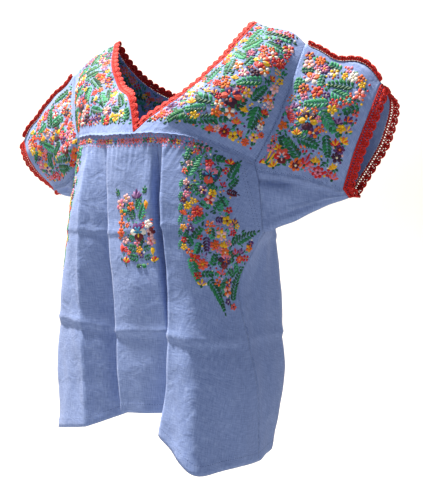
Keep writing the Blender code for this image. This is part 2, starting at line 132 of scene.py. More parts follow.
# Seams above the body, each side as drawn on the wearer: neck point, then outwards or downwards.
neck = {
    "left": ((0.139, -0.007, 0.000), (0.125, -0.038, -0.031), (0.102, -0.072, -0.080),
             (0.058, -0.111, -0.128), (0.024, -0.126, -0.152), (-0.004, -0.131, -0.1665)),
    "right": ((-0.139, -0.007, 0.000), (-0.125, -0.030, -0.028), (-0.105, -0.054, -0.056),
              (-0.073, -0.080, -0.092), (-0.028, -0.110, -0.120), (-0.004, -0.131, -0.1665)),
    "back": ((0.139, -0.007, 0.000), (0.132, 0.014, -0.027), (0.112, 0.040, -0.058),
             (0.076, 0.066, -0.082), (0.000, 0.080, -0.090), (-0.080, 0.065, -0.084),
             (-0.114, 0.040, -0.060), (-0.133, 0.014, -0.028), (-0.139, -0.007, 0.000)),
}
ridge = {
    "left": ((0.139, -0.007, 0.000), (0.185, -0.012, -0.018), (0.221, -0.012, -0.044)),
    "right": ((-0.139, -0.007, 0.000), (-0.185, -0.012, -0.020), (-0.221, -0.012, -0.047)),
}
sleeveRidge = {
    "left": ((0.221, -0.012, -0.044), (0.268, -0.012, -0.066), (0.312, -0.012, -0.088),
             (0.336, -0.012, -0.116)),
    "right": ((-0.221, -0.012, -0.047), (-0.272, -0.012, -0.086), (-0.312, -0.012, -0.116),
              (-0.343, -0.012, -0.152)),
}
armholeFront = {
    "left": ((0.221, -0.012, -0.044), (0.208, -0.036, -0.110), (0.191, -0.051, -0.165),
             (0.167, -0.067, -0.220)),
    "right": ((-0.221, -0.012, -0.047), (-0.206, -0.036, -0.088), (-0.184, -0.053, -0.128),
              (-0.162, -0.068, -0.163)),
}
armholeBack = {
    "left": ((0.221, -0.012, -0.044), (0.204, 0.018, -0.100), (0.184, 0.034, -0.155),
             (0.160, 0.042, -0.214)),
    "right": ((-0.221, -0.012, -0.047), (-0.206, 0.018, -0.088), (-0.184, 0.034, -0.130),
              (-0.160, 0.042, -0.179)),
}
cuffFront = {
    "left": ((0.336, -0.012, -0.116), (0.323, -0.016, -0.150), (0.301, -0.012, -0.197),
             (0.274, 0.006, -0.256)),
    "right": ((-0.343, -0.012, -0.152), (-0.326, -0.018, -0.182), (-0.306, -0.012, -0.210),
              (-0.284, 0.004, -0.237)),
}
cuffBack = {
    "left": ((0.336, -0.012, -0.116), (0.337, 0.022, -0.132), (0.318, 0.048, -0.178),
             (0.280, 0.038, -0.250)),
    "right": ((-0.343, -0.012, -0.152), (-0.340, 0.022, -0.164), (-0.322, 0.046, -0.196),
              (-0.292, 0.036, -0.234)),
}
cuffFold = {"left": (0.276, 0.024, -0.268), "right": (-0.284, 0.022, -0.248)}

# The seam under each sleeve panel passes this point between the body and the cuff.
underseam = {
    ("front", "left"): (0.222, -0.040, -0.240), ("front", "right"): (-0.224, -0.034, -0.236),
    ("back", "left"): (0.226, 0.030, -0.258), ("back", "right"): (-0.230, 0.030, -0.230),
}
foldMiddle = {"left": (0.228, -0.008, -0.290), "right": (-0.228, 0.000, -0.262)}

# How finely the cloth is divided, so that creases and gathers show, and how far its panels swell, metres
sampling = {"bodyStep": 0.01, "frontFine": 8, "backFine": 6, "armholeCells": 44, "sleeveCells": 38,
            "sleeveCornerRow": 10, "underarmRow": 28, "lineSteps": 40}
belly = {"yokeFront": 0.006, "yokeBack": 0.004, "sleeve": 0.004}
rowFractions = np.round(np.arange(0, 1 + 1e-9, sampling["bodyStep"]), 6)


def linear(code):
    # an sRGB hex colour as linear light
    parts = [int(code[i:i + 2], 16) / 255 for i in (1, 3, 5)]
    return tuple(c / 12.92 if c <= 0.04045 else ((c + 0.055) / 1.055) ** 2.4 for c in parts)


def unit(vectors):
    return vectors / np.maximum(np.linalg.norm(vectors, axis=-1, keepdims=True), 1e-12)


def smooth(points, cells, sharp=None):
    # a curve through the points with cells[i] steps to the next; sharp points keep their corner
    points = np.asarray(points, float)
    last = len(points) - 1
    sharp = sharp or [False] * (last + 1)
    step = np.linalg.norm(np.diff(points, axis=0), axis=1)
    slope = np.diff(points, axis=0) / step[:, None]
    found = [points[:1]]
    for i in range(last):
        leave = arrive = slope[i]
        if i > 0 and not sharp[i]:
            leave = (slope[i - 1] * step[i] + slope[i] * step[i - 1]) / (step[i - 1] + step[i])
        if i < last - 1 and not sharp[i + 1]:
            arrive = (slope[i] * step[i + 1] + slope[i + 1] * step[i]) / (step[i] + step[i + 1])
        t = (np.arange(1, cells[i] + 1) / cells[i])[:, None]
        found.append((2 * t**3 - 3 * t**2 + 1) * points[i] + (t**3 - 2 * t**2 + t) * step[i] * leave
                     + (3 * t**2 - 2 * t**3) * points[i + 1] + (t**3 - t**2) * step[i] * arrive)
    return np.concatenate(found)


def metresAlong(points):
    # the length of a line up to each of its points
    return np.concatenate([[0], np.cumsum(np.linalg.norm(np.diff(points, axis=0), axis=1))])


def runOf(points):
    run = metresAlong(points)
    return run / run[-1]


def atFractions(points, fractions, knots=None):
    # points of a smooth line at fractions of its run, or of the knots that its own points stand at
    steps = sampling["lineSteps"]
    fine = smooth(points, [steps] * (len(points) - 1))
    run = runOf(fine)
    if knots is not None:
        run = np.interp(np.arange(len(fine)) / steps, np.arange(len(points)), knots)
    return np.stack([np.interp(fractions, run, fine[:, k]) for k in range(3)], axis=1)


def even(points, cells):
    return atFractions(points, np.linspace(0, 1, cells + 1))


def patch(top, foot, left, right, swell=0.0, out=(0, 0, 0)):
    # fills four boundary curves that share their corners, rows from top to foot
    u = (0.5 * runOf(top) + 0.5 * runOf(foot))[None, :, None]
    v = (0.5 * runOf(left) + 0.5 * runOf(right))[:, None, None]
    ruled = (1 - v) * top[None] + v * foot[None] + (1 - u) * left[:, None] + u * right[:, None]
    corners = ((1 - u) * (1 - v) * top[0] + u * (1 - v) * top[-1]
               + (1 - u) * v * foot[0] + u * v * foot[-1])
    raised = swell * np.sin(math.pi * u) * np.sin(math.pi * v) * unit(np.array(out, float) + 1e-9)
    grid = ruled - corners + raised
    grid[0], grid[-1], grid[:, 0], grid[:, -1] = top, foot, left, right
    return grid


def sideColumn(face, side):
    # yoke corner, sleeve corner, underarm, then down the side seam
    upper = armholeFoot[face, side] + sideSeam[side][:1]
    row = sampling["underarmRow"]
    return np.concatenate([atFractions(upper, rowFractions[:row], armholeFootStations),
                           atFractions(sideSeam[side], rowFractions[row:], sideStations)])


def bodyGrid(face, lines, first, last, fine):
    columns = [atFractions(points, rowFractions, bodyStations) for _, points, _, _ in lines]
    columns = [sideColumn(face, first)] + columns + [sideColumn(face, last)]
    cells = [sideCells[face] * fine] + [line[2] * fine for line in lines]
    sharp = [False] + [line[3] for line in lines] + [False]
    return np.array([smooth([column[row] for column in columns], cells, sharp)
                     for row in range(len(rowFractions))])


def columnOf(face, name):
    lines, fine = ((frontLines, sampling["frontFine"]) if face == "front"
                   else (backLines, sampling["backFine"]))
    names = [line[0] for line in lines]
    return fine * (sideCells[face] + sum(line[2] for line in lines[:names.index(name)]))


def gridNormals(grid, out=None):
    normals = unit(np.cross(np.gradient(grid, axis=1), np.gradient(grid, axis=0)))
    middle = normals[grid.shape[0] // 2, grid.shape[1] // 2]
    return normals if out is None or middle @ np.array(out, float) > 0 else -normals


def keysOf(points):
    return [tuple(row) for row in np.round(points.reshape(-1, 3) * 1e5).astype(int)]


def sharedOffsets(panels):
    # outward steps that neighbouring panels agree on where they are sewn
    total = {}
    own = {name: gridNormals(panel["grid"], panel["out"]) for name, panel in panels.items()}
    for name, panel in panels.items():
        for key, normal in zip(keysOf(panel["grid"]), own[name].reshape(-1, 3)):
            total[key] = total.get(key, 0) + normal
    for name, panel in panels.items():
        normals = own[name].reshape(-1, 3)
        shared = unit(np.array([total[key] for key in keysOf(panel["grid"])]))
        lean = np.clip((shared * normals).sum(axis=1), 0.55, 1)[:, None]
        panel["steps"] = (shared / lean).reshape(panel["grid"].shape)


def buildPanels():
    front = bodyGrid("front", frontLines, "right", "left", sampling["frontFine"])
    back = bodyGrid("back", backLines, "left", "right", sampling["backFine"])
    panels = {"body_front": {"grid": front, "out": (0, -1, 0)},
              "body_back": {"grid": back, "out": (0, 1, 0)}}
    sides = {("front", "right"): front[:, 0], ("front", "left"): front[:, -1],
             ("back", "left"): back[:, 0], ("back", "right"): back[:, -1]}
    middle = columnOf("front", "centre")
    yokeFoot = {"left": front[0, middle:], "right": front[0, :middle + 1][::-1]}
    corner, underarmRow = sampling["sleeveCornerRow"], sampling["underarmRow"]
    holeCells, sleeveCells = sampling["armholeCells"], sampling["sleeveCells"]
    for side in ("left", "right"):
        foot = yokeFoot[side]
        neckLine = even(neck[side][:-1] + (tuple(foot[0]),), holeCells)
        panels["yoke_front_" + side] = {
            "grid": patch(even(ridge[side], len(foot) - 1), foot, neckLine,
                          even(armholeFront[side], holeCells), belly["yokeFront"], (0, -1, 0.3)),
            "out": (0, -1, 0.3)}
        top = even(sleeveRidge[side], sleeveCells)
        underarm = sides["front", side][underarmRow]
        fold = even((tuple(underarm), foldMiddle[side], cuffFold[side]), sleeveCells)
        halves = []
        for face, out, hole, cuffPoints in (("front", (0, -1, 0.2), armholeFront, cuffFront),
                                            ("back", (0, 1, 0.2), armholeBack, cuffBack)):
            below = sides[face, side][:corner + 1]
            inner = np.concatenate([even(hole[side], holeCells), below[1:]])
            cuff = even(cuffPoints[side], len(inner) - 1)
            foot = even((tuple(inner[-1]), underseam[face, side], tuple(cuff[-1])), sleeveCells)
            panels["sleeve_%s_%s" % (side, face)] = {
                "grid": patch(top, foot, inner, cuff, belly["sleeve"], out), "out": out}
            down = sides[face, side][corner:underarmRow + 1]
            end = even((tuple(cuff[-1]), cuffFold[side]), len(down) - 1)
            halves.append(patch(foot, fold, down, end))
        panels["gusset_" + side] = {"grid": np.concatenate([halves[0], halves[1][::-1][1:]]),
                                    "out": (0, 0, -1)}
    shoulder = {side: np.concatenate([even(ridge[side], len(yokeFoot[side]) - 1),
                                      even(armholeBack[side], holeCells)[1:]])
                for side in ("left", "right")}
    panels["yoke_back"] = {
        "grid": patch(even(neck["back"], back.shape[1] - 1), back[0], shoulder["left"],
                      shoulder["right"], belly["yokeBack"], (0, 1, 0.3)), "out": (0, 1, 0.3)}
    sharedOffsets(panels)
    return panels


panels = buildPanels()

# Soft hollows and swells that run on across every seam, metres
drape = {"longest": 0.160, "shortest": 0.035, "depth": 0.0021, "waves": 34, "upright": 0.55}
waveAim = unit(rng.normal(size=(drape["waves"], 3)) * (1.0, 1.0, drape["upright"]))
waveLength = drape["longest"] * (drape["shortest"] / drape["longest"]) ** rng.random(drape["waves"])
wavePhase = rng.random(drape["waves"]) * 2 * math.pi


def drapeAt(points):
    turns = points @ waveAim.T * (2 * math.pi / waveLength) + wavePhase
    weight = waveLength / drape["longest"]
    return drape["depth"] * (np.sin(turns) * weight).sum(axis=-1) / math.sqrt((weight**2).sum())


def bump(distance, width, place=0.0):
    # one where the distance is the place given, fading to nothing over the width
    return np.exp(-((distance - place) / width) ** 2)


def ripple(run, length, sway=0.0, swayTurns=0.0):
    # waves of a length in metres, drawn closer and wider by a slower sway
    return np.sin(run * 2 * math.pi / length + sway * np.sin(run * swayTurns))


def edgeDistances(grid):
    # how far each point of a panel is from its top, foot, left and right edges
    flat = grid.reshape(-1, 3)
    found = {}
    for edge, line in (("top", grid[0]), ("foot", grid[-1]), ("left", grid[:, 0]),
                       ("right", grid[:, -1])):
        line = line[::2]
        found[edge] = np.concatenate([
            np.linalg.norm(part[:, None] - line[None], axis=2).min(axis=1)
            for part in np.array_split(flat, 12)]).reshape(grid.shape[:2])      # in parts, to save memory
    return found


# How far out from the frame's panel the cloth stands, and its two faces from there, metres
cloth = {"ease": 0.0003, "under": 0.0003, "skin": 0.0011}

# Body cloth, metres: gathers that fade below the yoke, a groove at the side seam, a hem one cloth thicker
body = {"gather": 0.0108, "looseGather": 0.0167, "gatherHeight": 0.00060, "gatherFade": 0.034,
        "yokeTurn": 0.012, "sideTurn": 0.02, "foldsEnd": 0.03, "groove": 0.0016, "grooveWidth": 0.0022,
        "hem": 0.014, "hemTurn": 0.0007, "hemWave": 0.047, "hemWaveHeight": 0.0008, "hemWaveFade": 0.03}
# Folds pressed into it while it was stored: height, slope, how far it stands out, width
pressedFolds = {
    "body_front": ((-0.318, 0.02, 0.0020, 0.005), (-0.326, 0.02, -0.0014, 0.010),
                   (-0.470, -0.03, 0.0032, 0.006), (-0.480, -0.03, -0.0026, 0.012)),
    "body_back": ((-0.325, 0.01, 0.0022, 0.005), (-0.333, 0.01, -0.0015, 0.010),
                  (-0.478, 0.03, 0.0030, 0.006), (-0.488, 0.03, -0.0022, 0.012))}
# Upright falls: place across, lean, how far it stands out, width, and the length that it fades in over
uprightFalls = {
    "body_front": ((-0.115, 0.0, 0.0010, 0.004, 0.05),),
    "body_back": ((-0.165, 0.05, 0.0042, 0.016, 0.09), (-0.128, 0.04, -0.0050, 0.014, 0.09),
                  (-0.045, 0.02, 0.0034, 0.022, 0.09), (0.012, -0.03, -0.0038, 0.018, 0.09),
                  (0.086, -0.02, 0.0044, 0.017, 0.09), (0.122, -0.04, -0.0048, 0.013, 0.09))}


def creaseLine(grid, height, slope, depth, width):
    # a pressed fold at a height, softened and broken along its run
    wander = 0.004 * np.sin(grid[..., 0] * 31 + height * 40)
    level = grid[..., 2] - height - slope * grid[..., 0] - wander
    return depth * np.exp(-np.abs(level) / width)


def bodyLift(name, panel, lift):
    grid, near, across = panel["grid"], panel["near"], panel["across"]
    down, side = near["top"], np.minimum(near["left"], near["right"])
    fade = np.exp(-np.maximum(down - body["yokeTurn"], 0) / body["gatherFade"])
    fade = fade * np.clip(down / body["yokeTurn"], 0, 1)
    gathers = (np.sin(across * 2 * math.pi / body["gather"] + 1.3 * np.sin(across * 61 + down * 9))
               + 0.6 * ripple(across, body["looseGather"], 2.1, 37))
    lift = lift + body["gatherHeight"] * gathers * fade * np.clip(side / body["sideTurn"], 0, 1)
    inside = np.clip(side / body["foldsEnd"], 0, 1)
    lift = lift + inside * sum(creaseLine(grid, *fold) for fold in pressedFolds[name])
    for place, lean, height, width, fadeIn in uprightFalls[name]:
        fall = inside * height * bump(across - place - lean * down, width)
        lift = lift + fall * np.clip(down / fadeIn, 0, 1)
    below = np.arange(len(grid))[:, None] - sampling["underarmRow"] - 1
    lift = lift - body["groove"] * bump(side, body["grooveWidth"]) * np.clip(below / 3, 0, 1)
    lift = lift + body["hemTurn"] * (near["foot"] < body["hem"])
    wave = np.sin(across * 2 * math.pi / body["hemWave"] + 1)
    return lift + body["hemWaveHeight"] * wave * np.exp(-near["foot"] / body["hemWaveFade"])


# Sleeve cloth, metres: the lapped seam under the panel, puckered by its stitches, and the armhole seam;
# a band is how wide it is and how far from the edge
sleeve = {"pucker": 0.0085, "puckerHeight": 0.0010, "puckerBand": (0.006, 0.004), "seamHeight": 0.0009,
          "seamBand": (0.0022, 0.003), "armholeHeight": 0.0007, "armholeBand": (0.002, 0.003)}


def sleeveLift(name, panel, lift):
    foot, armhole = panel["near"]["foot"], panel["near"]["left"]
    puckers = ripple(panel["across"], sleeve["pucker"], 1.5, 90)
    lift = lift + sleeve["puckerHeight"] * puckers * bump(foot, *sleeve["puckerBand"])
    lift = lift + sleeve["seamHeight"] * bump(foot, *sleeve["seamBand"])
    return lift + sleeve["armholeHeight"] * (armhole > 0.0) * bump(armhole, *sleeve["armholeBand"])


# Yoke cloth, metres: the lapped seam at its foot, and pulls along the lower half of the armhole
yoke = {"seamHeight": 0.0008, "seamBand": (0.0022, 0.003), "pull": 0.0006, "pullTurns": 95,
        "pullBand": (0.006, 0.006)}


def yokeLift(name, panel, lift):
    lift = lift + yoke["seamHeight"] * bump(panel["near"]["foot"], *yoke["seamBand"])
    if name != "yoke_back":
        rows = np.linspace(0, 1, len(panel["grid"]))[:, None]
        pulls = yoke["pull"] * np.sin(rows * yoke["pullTurns"]) * np.clip(rows * 2 - 0.9, 0, 1)
        lift = lift + pulls * bump(panel["near"]["right"], *yoke["pullBand"])
    return lift


# Gusset folds: place across and down as shares of the panel, reach, width, tilt, height in metres
gussetFolds = ((0.16, 0.085, 0.26, 0.030, 0.05, -0.0070), (0.22, 0.200, 0.20, 0.080, 0.30, 0.0065),
               (0.66, 0.190, 0.22, 0.110, -0.05, -0.0055), (0.55, 0.355, 0.50, 0.016, -0.06, 0.0034),
               (0.48, 0.400, 0.26, 0.022, -0.04, -0.0042), (0.14, 0.450, 0.30, 0.030, 0.02, 0.0030))
armholeTuck = {"depth": 0.0034, "band": (0.035, 0.035)}      # its band as shares of the panel


def gussetLift(name, panel, lift):
    rows = np.linspace(0, 1, len(panel["grid"]))[:, None]
    columns = np.linspace(0, 1, panel["grid"].shape[1])[None, :]
    for column, row, reach, width, tilt, height in gussetFolds:
        for at, turn in ((row, tilt), (1.0 - row * 0.94, -tilt)):      # the hidden half falls alike
            off = rows - at - turn * (columns - column)
            lift = lift + height * bump(columns - column, reach) * bump(off, width)
    return lift - armholeTuck["depth"] * bump(columns, *armholeTuck["band"]) * np.sin(math.pi * rows)


def shapeCloth(name, panel):
    grid, steps = panel["grid"], panel["steps"]
    panel["near"] = edgeDistances(grid)
    if name == "yoke_back":      # its sides are first the shoulder ridge, then the armhole
        lastCells = 3 * sampling["frontFine"]
        ridgeCells = columnOf("front", "quarter_left") - columnOf("front", "centre") + lastCells
        holes = np.concatenate([grid[ridgeCells::2, 0], grid[ridgeCells::2, -1]])
        panel["near"]["hole"] = np.linalg.norm(grid[:, :, None] - holes[None, None], axis=3).min(axis=2)
    run = np.concatenate([np.zeros((len(grid), 1)), np.cumsum(
        np.linalg.norm(np.diff(grid, axis=1), axis=2), axis=1)], axis=1)
    panel["across"] = run - run[:, run.shape[1] // 2][:, None]       # metres along the cloth from the middle
    forms = {"body": bodyLift, "yoke": yokeLift, "sleeve": sleeveLift, "gusset": gussetLift}
    lift = forms[name.split("_")[0]](name, panel, cloth["ease"] + drapeAt(grid))
    panel["lift"] = lift
    panel["skin"] = grid + (lift + cloth["skin"])[..., None] * steps
    panel["under"] = grid + (lift + cloth["under"])[..., None] * steps
    panel["normal"] = gridNormals(panel["skin"], panel["out"])


for name, panel in panels.items():
    shapeCloth(name, panel)
print("cloth panels shaped:", ", ".join(panels))

# The folded edge of a panel that laps over the next one, metres; waves is a share of its reach
lip = {"reach": 0.0044, "rise": 0.0026, "waves": 0.20, "waveLength": 0.013, "thickness": 0.0008}


def withLip(panel):
    # the panel's two faces and map, run on past the foot seam
    steps, reach = panel["steps"][-1], lip["reach"]
    past = unit(panel["skin"][-1] - panel["skin"][-3])
    waves = np.sin(panel["across"][-1] * 2 * math.pi / lip["waveLength"])
    length = reach * (1 + lip["waves"] * waves)[:, None]
    rows = np.stack([panel["skin"][-1] + past * length * share + steps * lip["rise"] * share
                     for share in (0.5, 1.0)])
    outer = np.concatenate([panel["skin"], rows])
    inner = np.concatenate([panel["under"], rows - lip["thickness"] * steps[None]])
    lastUv = panel["uv"][-1:]
    return inner, outer, np.concatenate([panel["uv"], lastUv + (0, 0.5 * reach), lastUv + (0, reach)])


def addNode(tree, kind, settings=None, links=None):
    node = tree.nodes.new(kind)
    for key, value in (settings or {}).items():
        if isinstance(key, str) and hasattr(node, key):
            setattr(node, key, value)
        else:
            node.inputs[key].default_value = value
    for key, source in (links or {}).items():
        tree.links.new(source, node.inputs[key])
    return node


def newMaterial(label):
    material = bpy.data.materials.new(label)
    material.use_nodes = True
    tree = material.node_tree
    tree.nodes.clear()
    return material, tree


def finishMaterial(tree, shader):
    output = addNode(tree, "ShaderNodeOutputMaterial")
    tree.links.new(shader.outputs[0], output.inputs[0])


# Plain-woven cotton, piece-dyed cornflower blue: matt, faintly slubbed, its tone following the thread relief,
# paler on the raised thread tops and deeper where they sink.
cotton = {"base": "#6f84b6", "deep": "#5b70a2", "pale": "#899dca", "thread": 0.0016,
          "roughness": 0.92, "sheen": 0.08}      # threads drawn coarser than they are, so that they show


def cottonMaterial():
    material, tree = newMaterial("cornflower_plain_weave_cotton")
    place = addNode(tree, "ShaderNodeUVMap", {"uv_map": "clothMetres"})
    threads = []
    for stretch, start in (((1.0, 9.0, 1.0), 0.0), ((9.0, 1.0, 1.0), 5.0)):   # warp, then weft
        scale = tuple(1 / (cotton["thread"] * s) for s in stretch)
        turned = addNode(tree, "ShaderNodeMapping", {"Scale": scale, "Location": (start, start, 0)},
                         {"Vector": place.outputs[0]})
        threads.append(addNode(tree, "ShaderNodeTexNoise", {"Scale": 1.0, "Detail": 2.0, "Roughness": 0.6},
                               {"Vector": turned.outputs[0]}))
    weave = addNode(tree, "ShaderNodeMath", {"operation": "ADD"},
                    {0: threads[0].outputs[0], 1: threads[1].outputs[0]})
    half = addNode(tree, "ShaderNodeMath", {"operation": "MULTIPLY", 1: 0.5}, {0: weave.outputs[0]})
    shades = addNode(tree, "ShaderNodeValToRGB", None, {0: half.outputs[0]})
    shades.color_ramp.elements.new(0.5)
    for stop, place, dye in zip(shades.color_ramp.elements, (0.30, 0.5, 0.72), ("deep", "base", "pale")):
        stop.position, stop.color = place, (*linear(cotton[dye]), 1)
    fine = addNode(tree, "ShaderNodeBump", {"Strength": 0.22, "Distance": 0.0006},
                   {"Height": half.outputs[0]})
    space = addNode(tree, "ShaderNodeTexCoord")
    crumple = addNode(tree, "ShaderNodeTexNoise", {"Scale": 38.0, "Detail": 3.0, "Roughness": 0.55,
                                                   "Distortion": 0.6}, {"Vector": space.outputs["Object"]})
    soft = addNode(tree, "ShaderNodeBump", {"Strength": 0.35, "Distance": 0.006},
                   {"Height": crumple.outputs[0], "Normal": fine.outputs[0]})
    shader = addNode(tree, "ShaderNodeBsdfPrincipled",
                     {"Roughness": cotton["roughness"], "Sheen Weight": cotton["sheen"],
                      "Sheen Roughness": 0.6, "Specular IOR Level": 0.25, "IOR": 1.46},
                     {"Base Color": shades.outputs[0], "Normal": soft.outputs[0]})
    finishMaterial(tree, shader)
    return material


def newMesh(name, points, faces):
    mesh = bpy.data.meshes.new(name)
    mesh.from_pydata(points.tolist(), [], faces)
    mesh.polygons.foreach_set("use_smooth", np.ones(len(mesh.polygons), bool))
    mesh.update()
    return mesh


def addMap(mesh, label, uv):
    # metres along the piece, given for each point
    loops = np.zeros(len(mesh.loops), int)
    mesh.loops.foreach_get("vertex_index", loops)
    mesh.uv_layers.new(name=label).data.foreach_set("uv", uv[loops].ravel().astype(np.float32))


def quadsOf(index):
    # the faces between neighbouring rows and columns of point numbers
    corners = (index[:-1, :-1], index[:-1, 1:], index[1:, 1:], index[1:, :-1])
    return np.stack([corner.ravel() for corner in corners], 1)


def shellMesh(name, inner, outer, uv):
    # the closed shell between the two faces of a cloth
    half = inner.shape[0] * inner.shape[1]
    index = np.arange(half).reshape(inner.shape[:2])
    quads = [quadsOf(index), quadsOf(index)[:, ::-1] + half]
    for line in (index[0], index[:, -1], index[-1][::-1], index[:, 0][::-1]):
        quads.append(np.stack([line[1:], line[:-1], line[:-1] + half, line[1:] + half], 1))
    faces = np.concatenate(quads)
    points = np.concatenate([inner.reshape(-1, 3), outer.reshape(-1, 3)])
    corner = points[faces]
    if np.einsum("ij,ij->i", corner[:, 0], np.cross(corner[:, 1], corner[:, 2])).sum() < 0:
        faces = faces[:, ::-1]
    mesh = newMesh(name, points, faces.tolist())
    addMap(mesh, "clothMetres", np.concatenate([uv.reshape(-1, 2), uv.reshape(-1, 2)]))
    return mesh


def addPiece(name, mesh, material):
    piece = bpy.data.objects.new(name, mesh)
    bpy.context.scene.collection.objects.link(piece)
    mesh.materials.append(material)
    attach(piece, "root")
    return piece


cottonFinish = cottonMaterial()
# Flat cuts in metres and square metres, with the gathers let out
faceCount = 0
for name, panel in panels.items():
    downRun = np.concatenate([np.zeros((1, panel["grid"].shape[1])), np.cumsum(
        np.linalg.norm(np.diff(panel["grid"], axis=0), axis=2), axis=0)])
    panel["uv"] = np.stack([panel["across"], downRun], axis=2)
    faces = (panel["under"], panel["skin"], panel["uv"])
    if name.startswith(("yoke", "sleeve")):      # these lap over what is sewn on below them
        faces = withLip(panel)
    piece = addPiece("cloth_" + name, shellMesh("cloth_" + name, *faces), cottonFinish)
    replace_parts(piece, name)
    faceCount += len(piece.data.polygons)
print("cloth made:", faceCount, "faces")

# Stranded cotton in satin stitch: padded petals with a soft gleam along the strands.
# Strands are drawn coarser than they are, so that they show
thread = {"deepGreen": "#0e5b3c", "green": "#17804c", "mint": "#3aa97b", "yellow": "#f6c718",
          "gold": "#f0a51e", "orange": "#ef6f1d", "coral": "#ee5a48", "red": "#cf1f26", "maroon": "#701226",
          "pink": "#ea84a4", "palePink": "#f3bdc2", "cream": "#f1e6c6", "white": "#f4f1ec",
          "purple": "#5b2b76", "lilac": "#a97dba", "plum": "#42143a", "sky": "#3a9fd2", "navy": "#2c3f86",
          # the seam thread is darker than the real topstitching, so that its dashes also paint the shadow
          # line along each seam
          "bark": "#2b3326", "seamShadowBlue": "#3d5286"}
threadNames = list(thread)
threadLinear = np.array([linear(thread[n]) for n in threadNames])
darkGreens, freshGreens, seaGreens = ("deepGreen", "green"), ("green", "mint"), ("deepGreen", "mint")
# Strand width in metres; padding is a share of a patch's width, kept between lowest and highest metres;
# sunk is how far its edges go into the cloth, layer how much higher one laid over another stands, and
# margin the share of the panel kept free at its edges
stitch = {"strand": 0.0011, "padding": 0.30, "backPadding": 0.55, "lowest": 0.00045, "highest": 0.0016,
          "sunk": 0.00025, "layer": 0.0009, "tone": 0.16, "margin": 0.002, "roughness": 0.55,
          "sheen": 0.05}
shapeNames = ("leaf", "petal", "knot", "stem")


def mark(x, y, angle, length, width, colour, shape="petal", lift=0.0):
    # one satin-stitched patch in millimetres: where it starts, its aim in degrees, its size
    return (x, y, math.radians(angle), length, width, threadNames.index(colour), shapeNames.index(shape),
            lift)


def aimed(radius, angle):
    return radius * math.cos(math.radians(angle)), radius * math.sin(math.radians(angle))


def bloom(colour, heart, petals=5, length=4.4, width=3.8, turn=0.0, second=None):
    # a small open flower round a knot
    found = []
    for k in range(petals):
        angle = turn + 360 * k / petals + rng.uniform(-7, 7)
        tint = second if second and k % 2 else colour
        found.append(mark(*aimed(0.8, angle), angle, length * rng.uniform(0.95, 1.15), width * 1.1, tint))
    knot = 0.5 * length
    return found + [mark(-knot / 2, 0, 0, knot, knot, heart, "knot", 0.7)]


def pansy(top, wing, low, heart, eye, size=1.0, inner=None):
    # five broad petals, each with a darker or brighter tongue laid over it, round a small eye
    found = []
    for angle, length, width, tint in (
            (-122, 12.5, 10.5, top), (-58, 12.5, 10.5, top), (178, 12, 10, wing), (2, 12, 10, wing),
            (90, 13, 13, low), (60, 11, 8, low), (120, 11, 8, low)):
        found.append(mark(*aimed(1.5 * size, angle), angle, length * size, width * size, tint))
    for angle in (-122, -58, 178, 2, 90):
        found.append(mark(*aimed(1.6 * size, angle), angle, 7.0 * size, 4.2 * size,
                          (inner or heart) if angle != 90 else heart, "petal", 0.7))
    for angle in (150, 30, 270):
        found.append(mark(*aimed(0.4, angle), angle, 3.8 * size, 3.0 * size, eye, "petal", 1.2))
    return found


def rosette(outer, middle, heart, size=1.0):
    # two rings of rounded petals
    found = []
    for count, start, length, width, tint, lift in ((7, 2.6, 5.6, 5.2, outer, 0.0),
                                                    (5, 1.0, 4.4, 4.0, middle, 0.7)):
        for k in range(count):
            angle = 360 * k / count + 20 * lift + rng.uniform(-6, 6)
            found.append(mark(*aimed(start * size, angle), angle, length * size, width * size, tint,
                              "petal", lift))
    return found + [mark(-1.5 * size, 0, 0, 3.0 * size, 3.0 * size, heart, "knot", 1.3)]


def stemLine(points, colour, width=0.9):
    found = []
    for (x0, y0), (x1, y1) in zip(points[:-1], points[1:]):
        angle = math.degrees(math.atan2(y1 - y0, x1 - x0))
        length = math.hypot(x1 - x0, y1 - y0) * 1.12      # each run laps over the next
        found.append(mark(x0, y0, angle, length, width, colour, "stem"))
    return found


def fern(length=30.0, bend=14.0, leaf=7.2, tints=darkGreens, gap=3.5, rib="mint"):
    # a bent rib from the origin along +x, leaflets in pairs that shorten to the tip
    count = max(3, int(length / gap))
    spine, x, y = [(0.0, 0.0)], 0.0, 0.0
    for k in range(count):
        angle = bend * (k / count - 0.35)
        x, y = x + gap * math.cos(math.radians(angle)), y + gap * math.sin(math.radians(angle))
        spine.append((x, y))
    found = stemLine(spine[::2] + ([spine[-1]] if len(spine) % 2 == 0 else []), rib, 0.8)
    for k, (px, py) in enumerate(spine[1:-1]):
        share = k / count
        size = leaf * (0.72 + 0.5 * math.sin(math.pi * min(1, share + 0.15))) * (1 - 0.45 * share)
        angle = bend * (share - 0.35)
        for side in (-1, 1):
            aim = angle + side * (48 - 10 * share) + rng.uniform(-5, 5)
            tint = tints[(k + (side > 0)) % 2] if rng.random() < 0.3 else tints[side > 0]
            found.append(mark(px, py, aim, size, 3.4, tint, "leaf"))
    return found + [mark(*spine[-1], bend * 0.65, leaf * 0.75, 2.6, tints[0], "leaf")]


def sprig(colour, count=5, length=12.0, drop=4.0, second=None):
    # buds on short stalks either side of a thin stem
    found = stemLine([(0, 0), (length * 0.5, 0.6), (length, 0)], "green", 0.7)
    for k in range(count):
        px = length * (0.25 + 0.75 * k / max(1, count - 1))
        side = 1 if k % 2 else -1
        angle = side * (62 if k < count - 1 else 5) + rng.uniform(-8, 8)
        found.append(mark(px, side * 0.5, angle, drop, drop * 0.68, second if second and k % 2 else colour))
    return found


def tulip(colour, second, size=1.0):
    found = [mark(0, 0, angle, (9 if abs(angle + 90) < 20 else 7.5) * size, 3.3 * size, tint)
             for angle, tint in ((-148, colour), (-118, second), (-90, colour), (-62, second), (-32, colour))]
    return found + [mark(-1.2, 1.0, 0, 2.6, 2.6, "deepGreen", "knot", 0.5)]


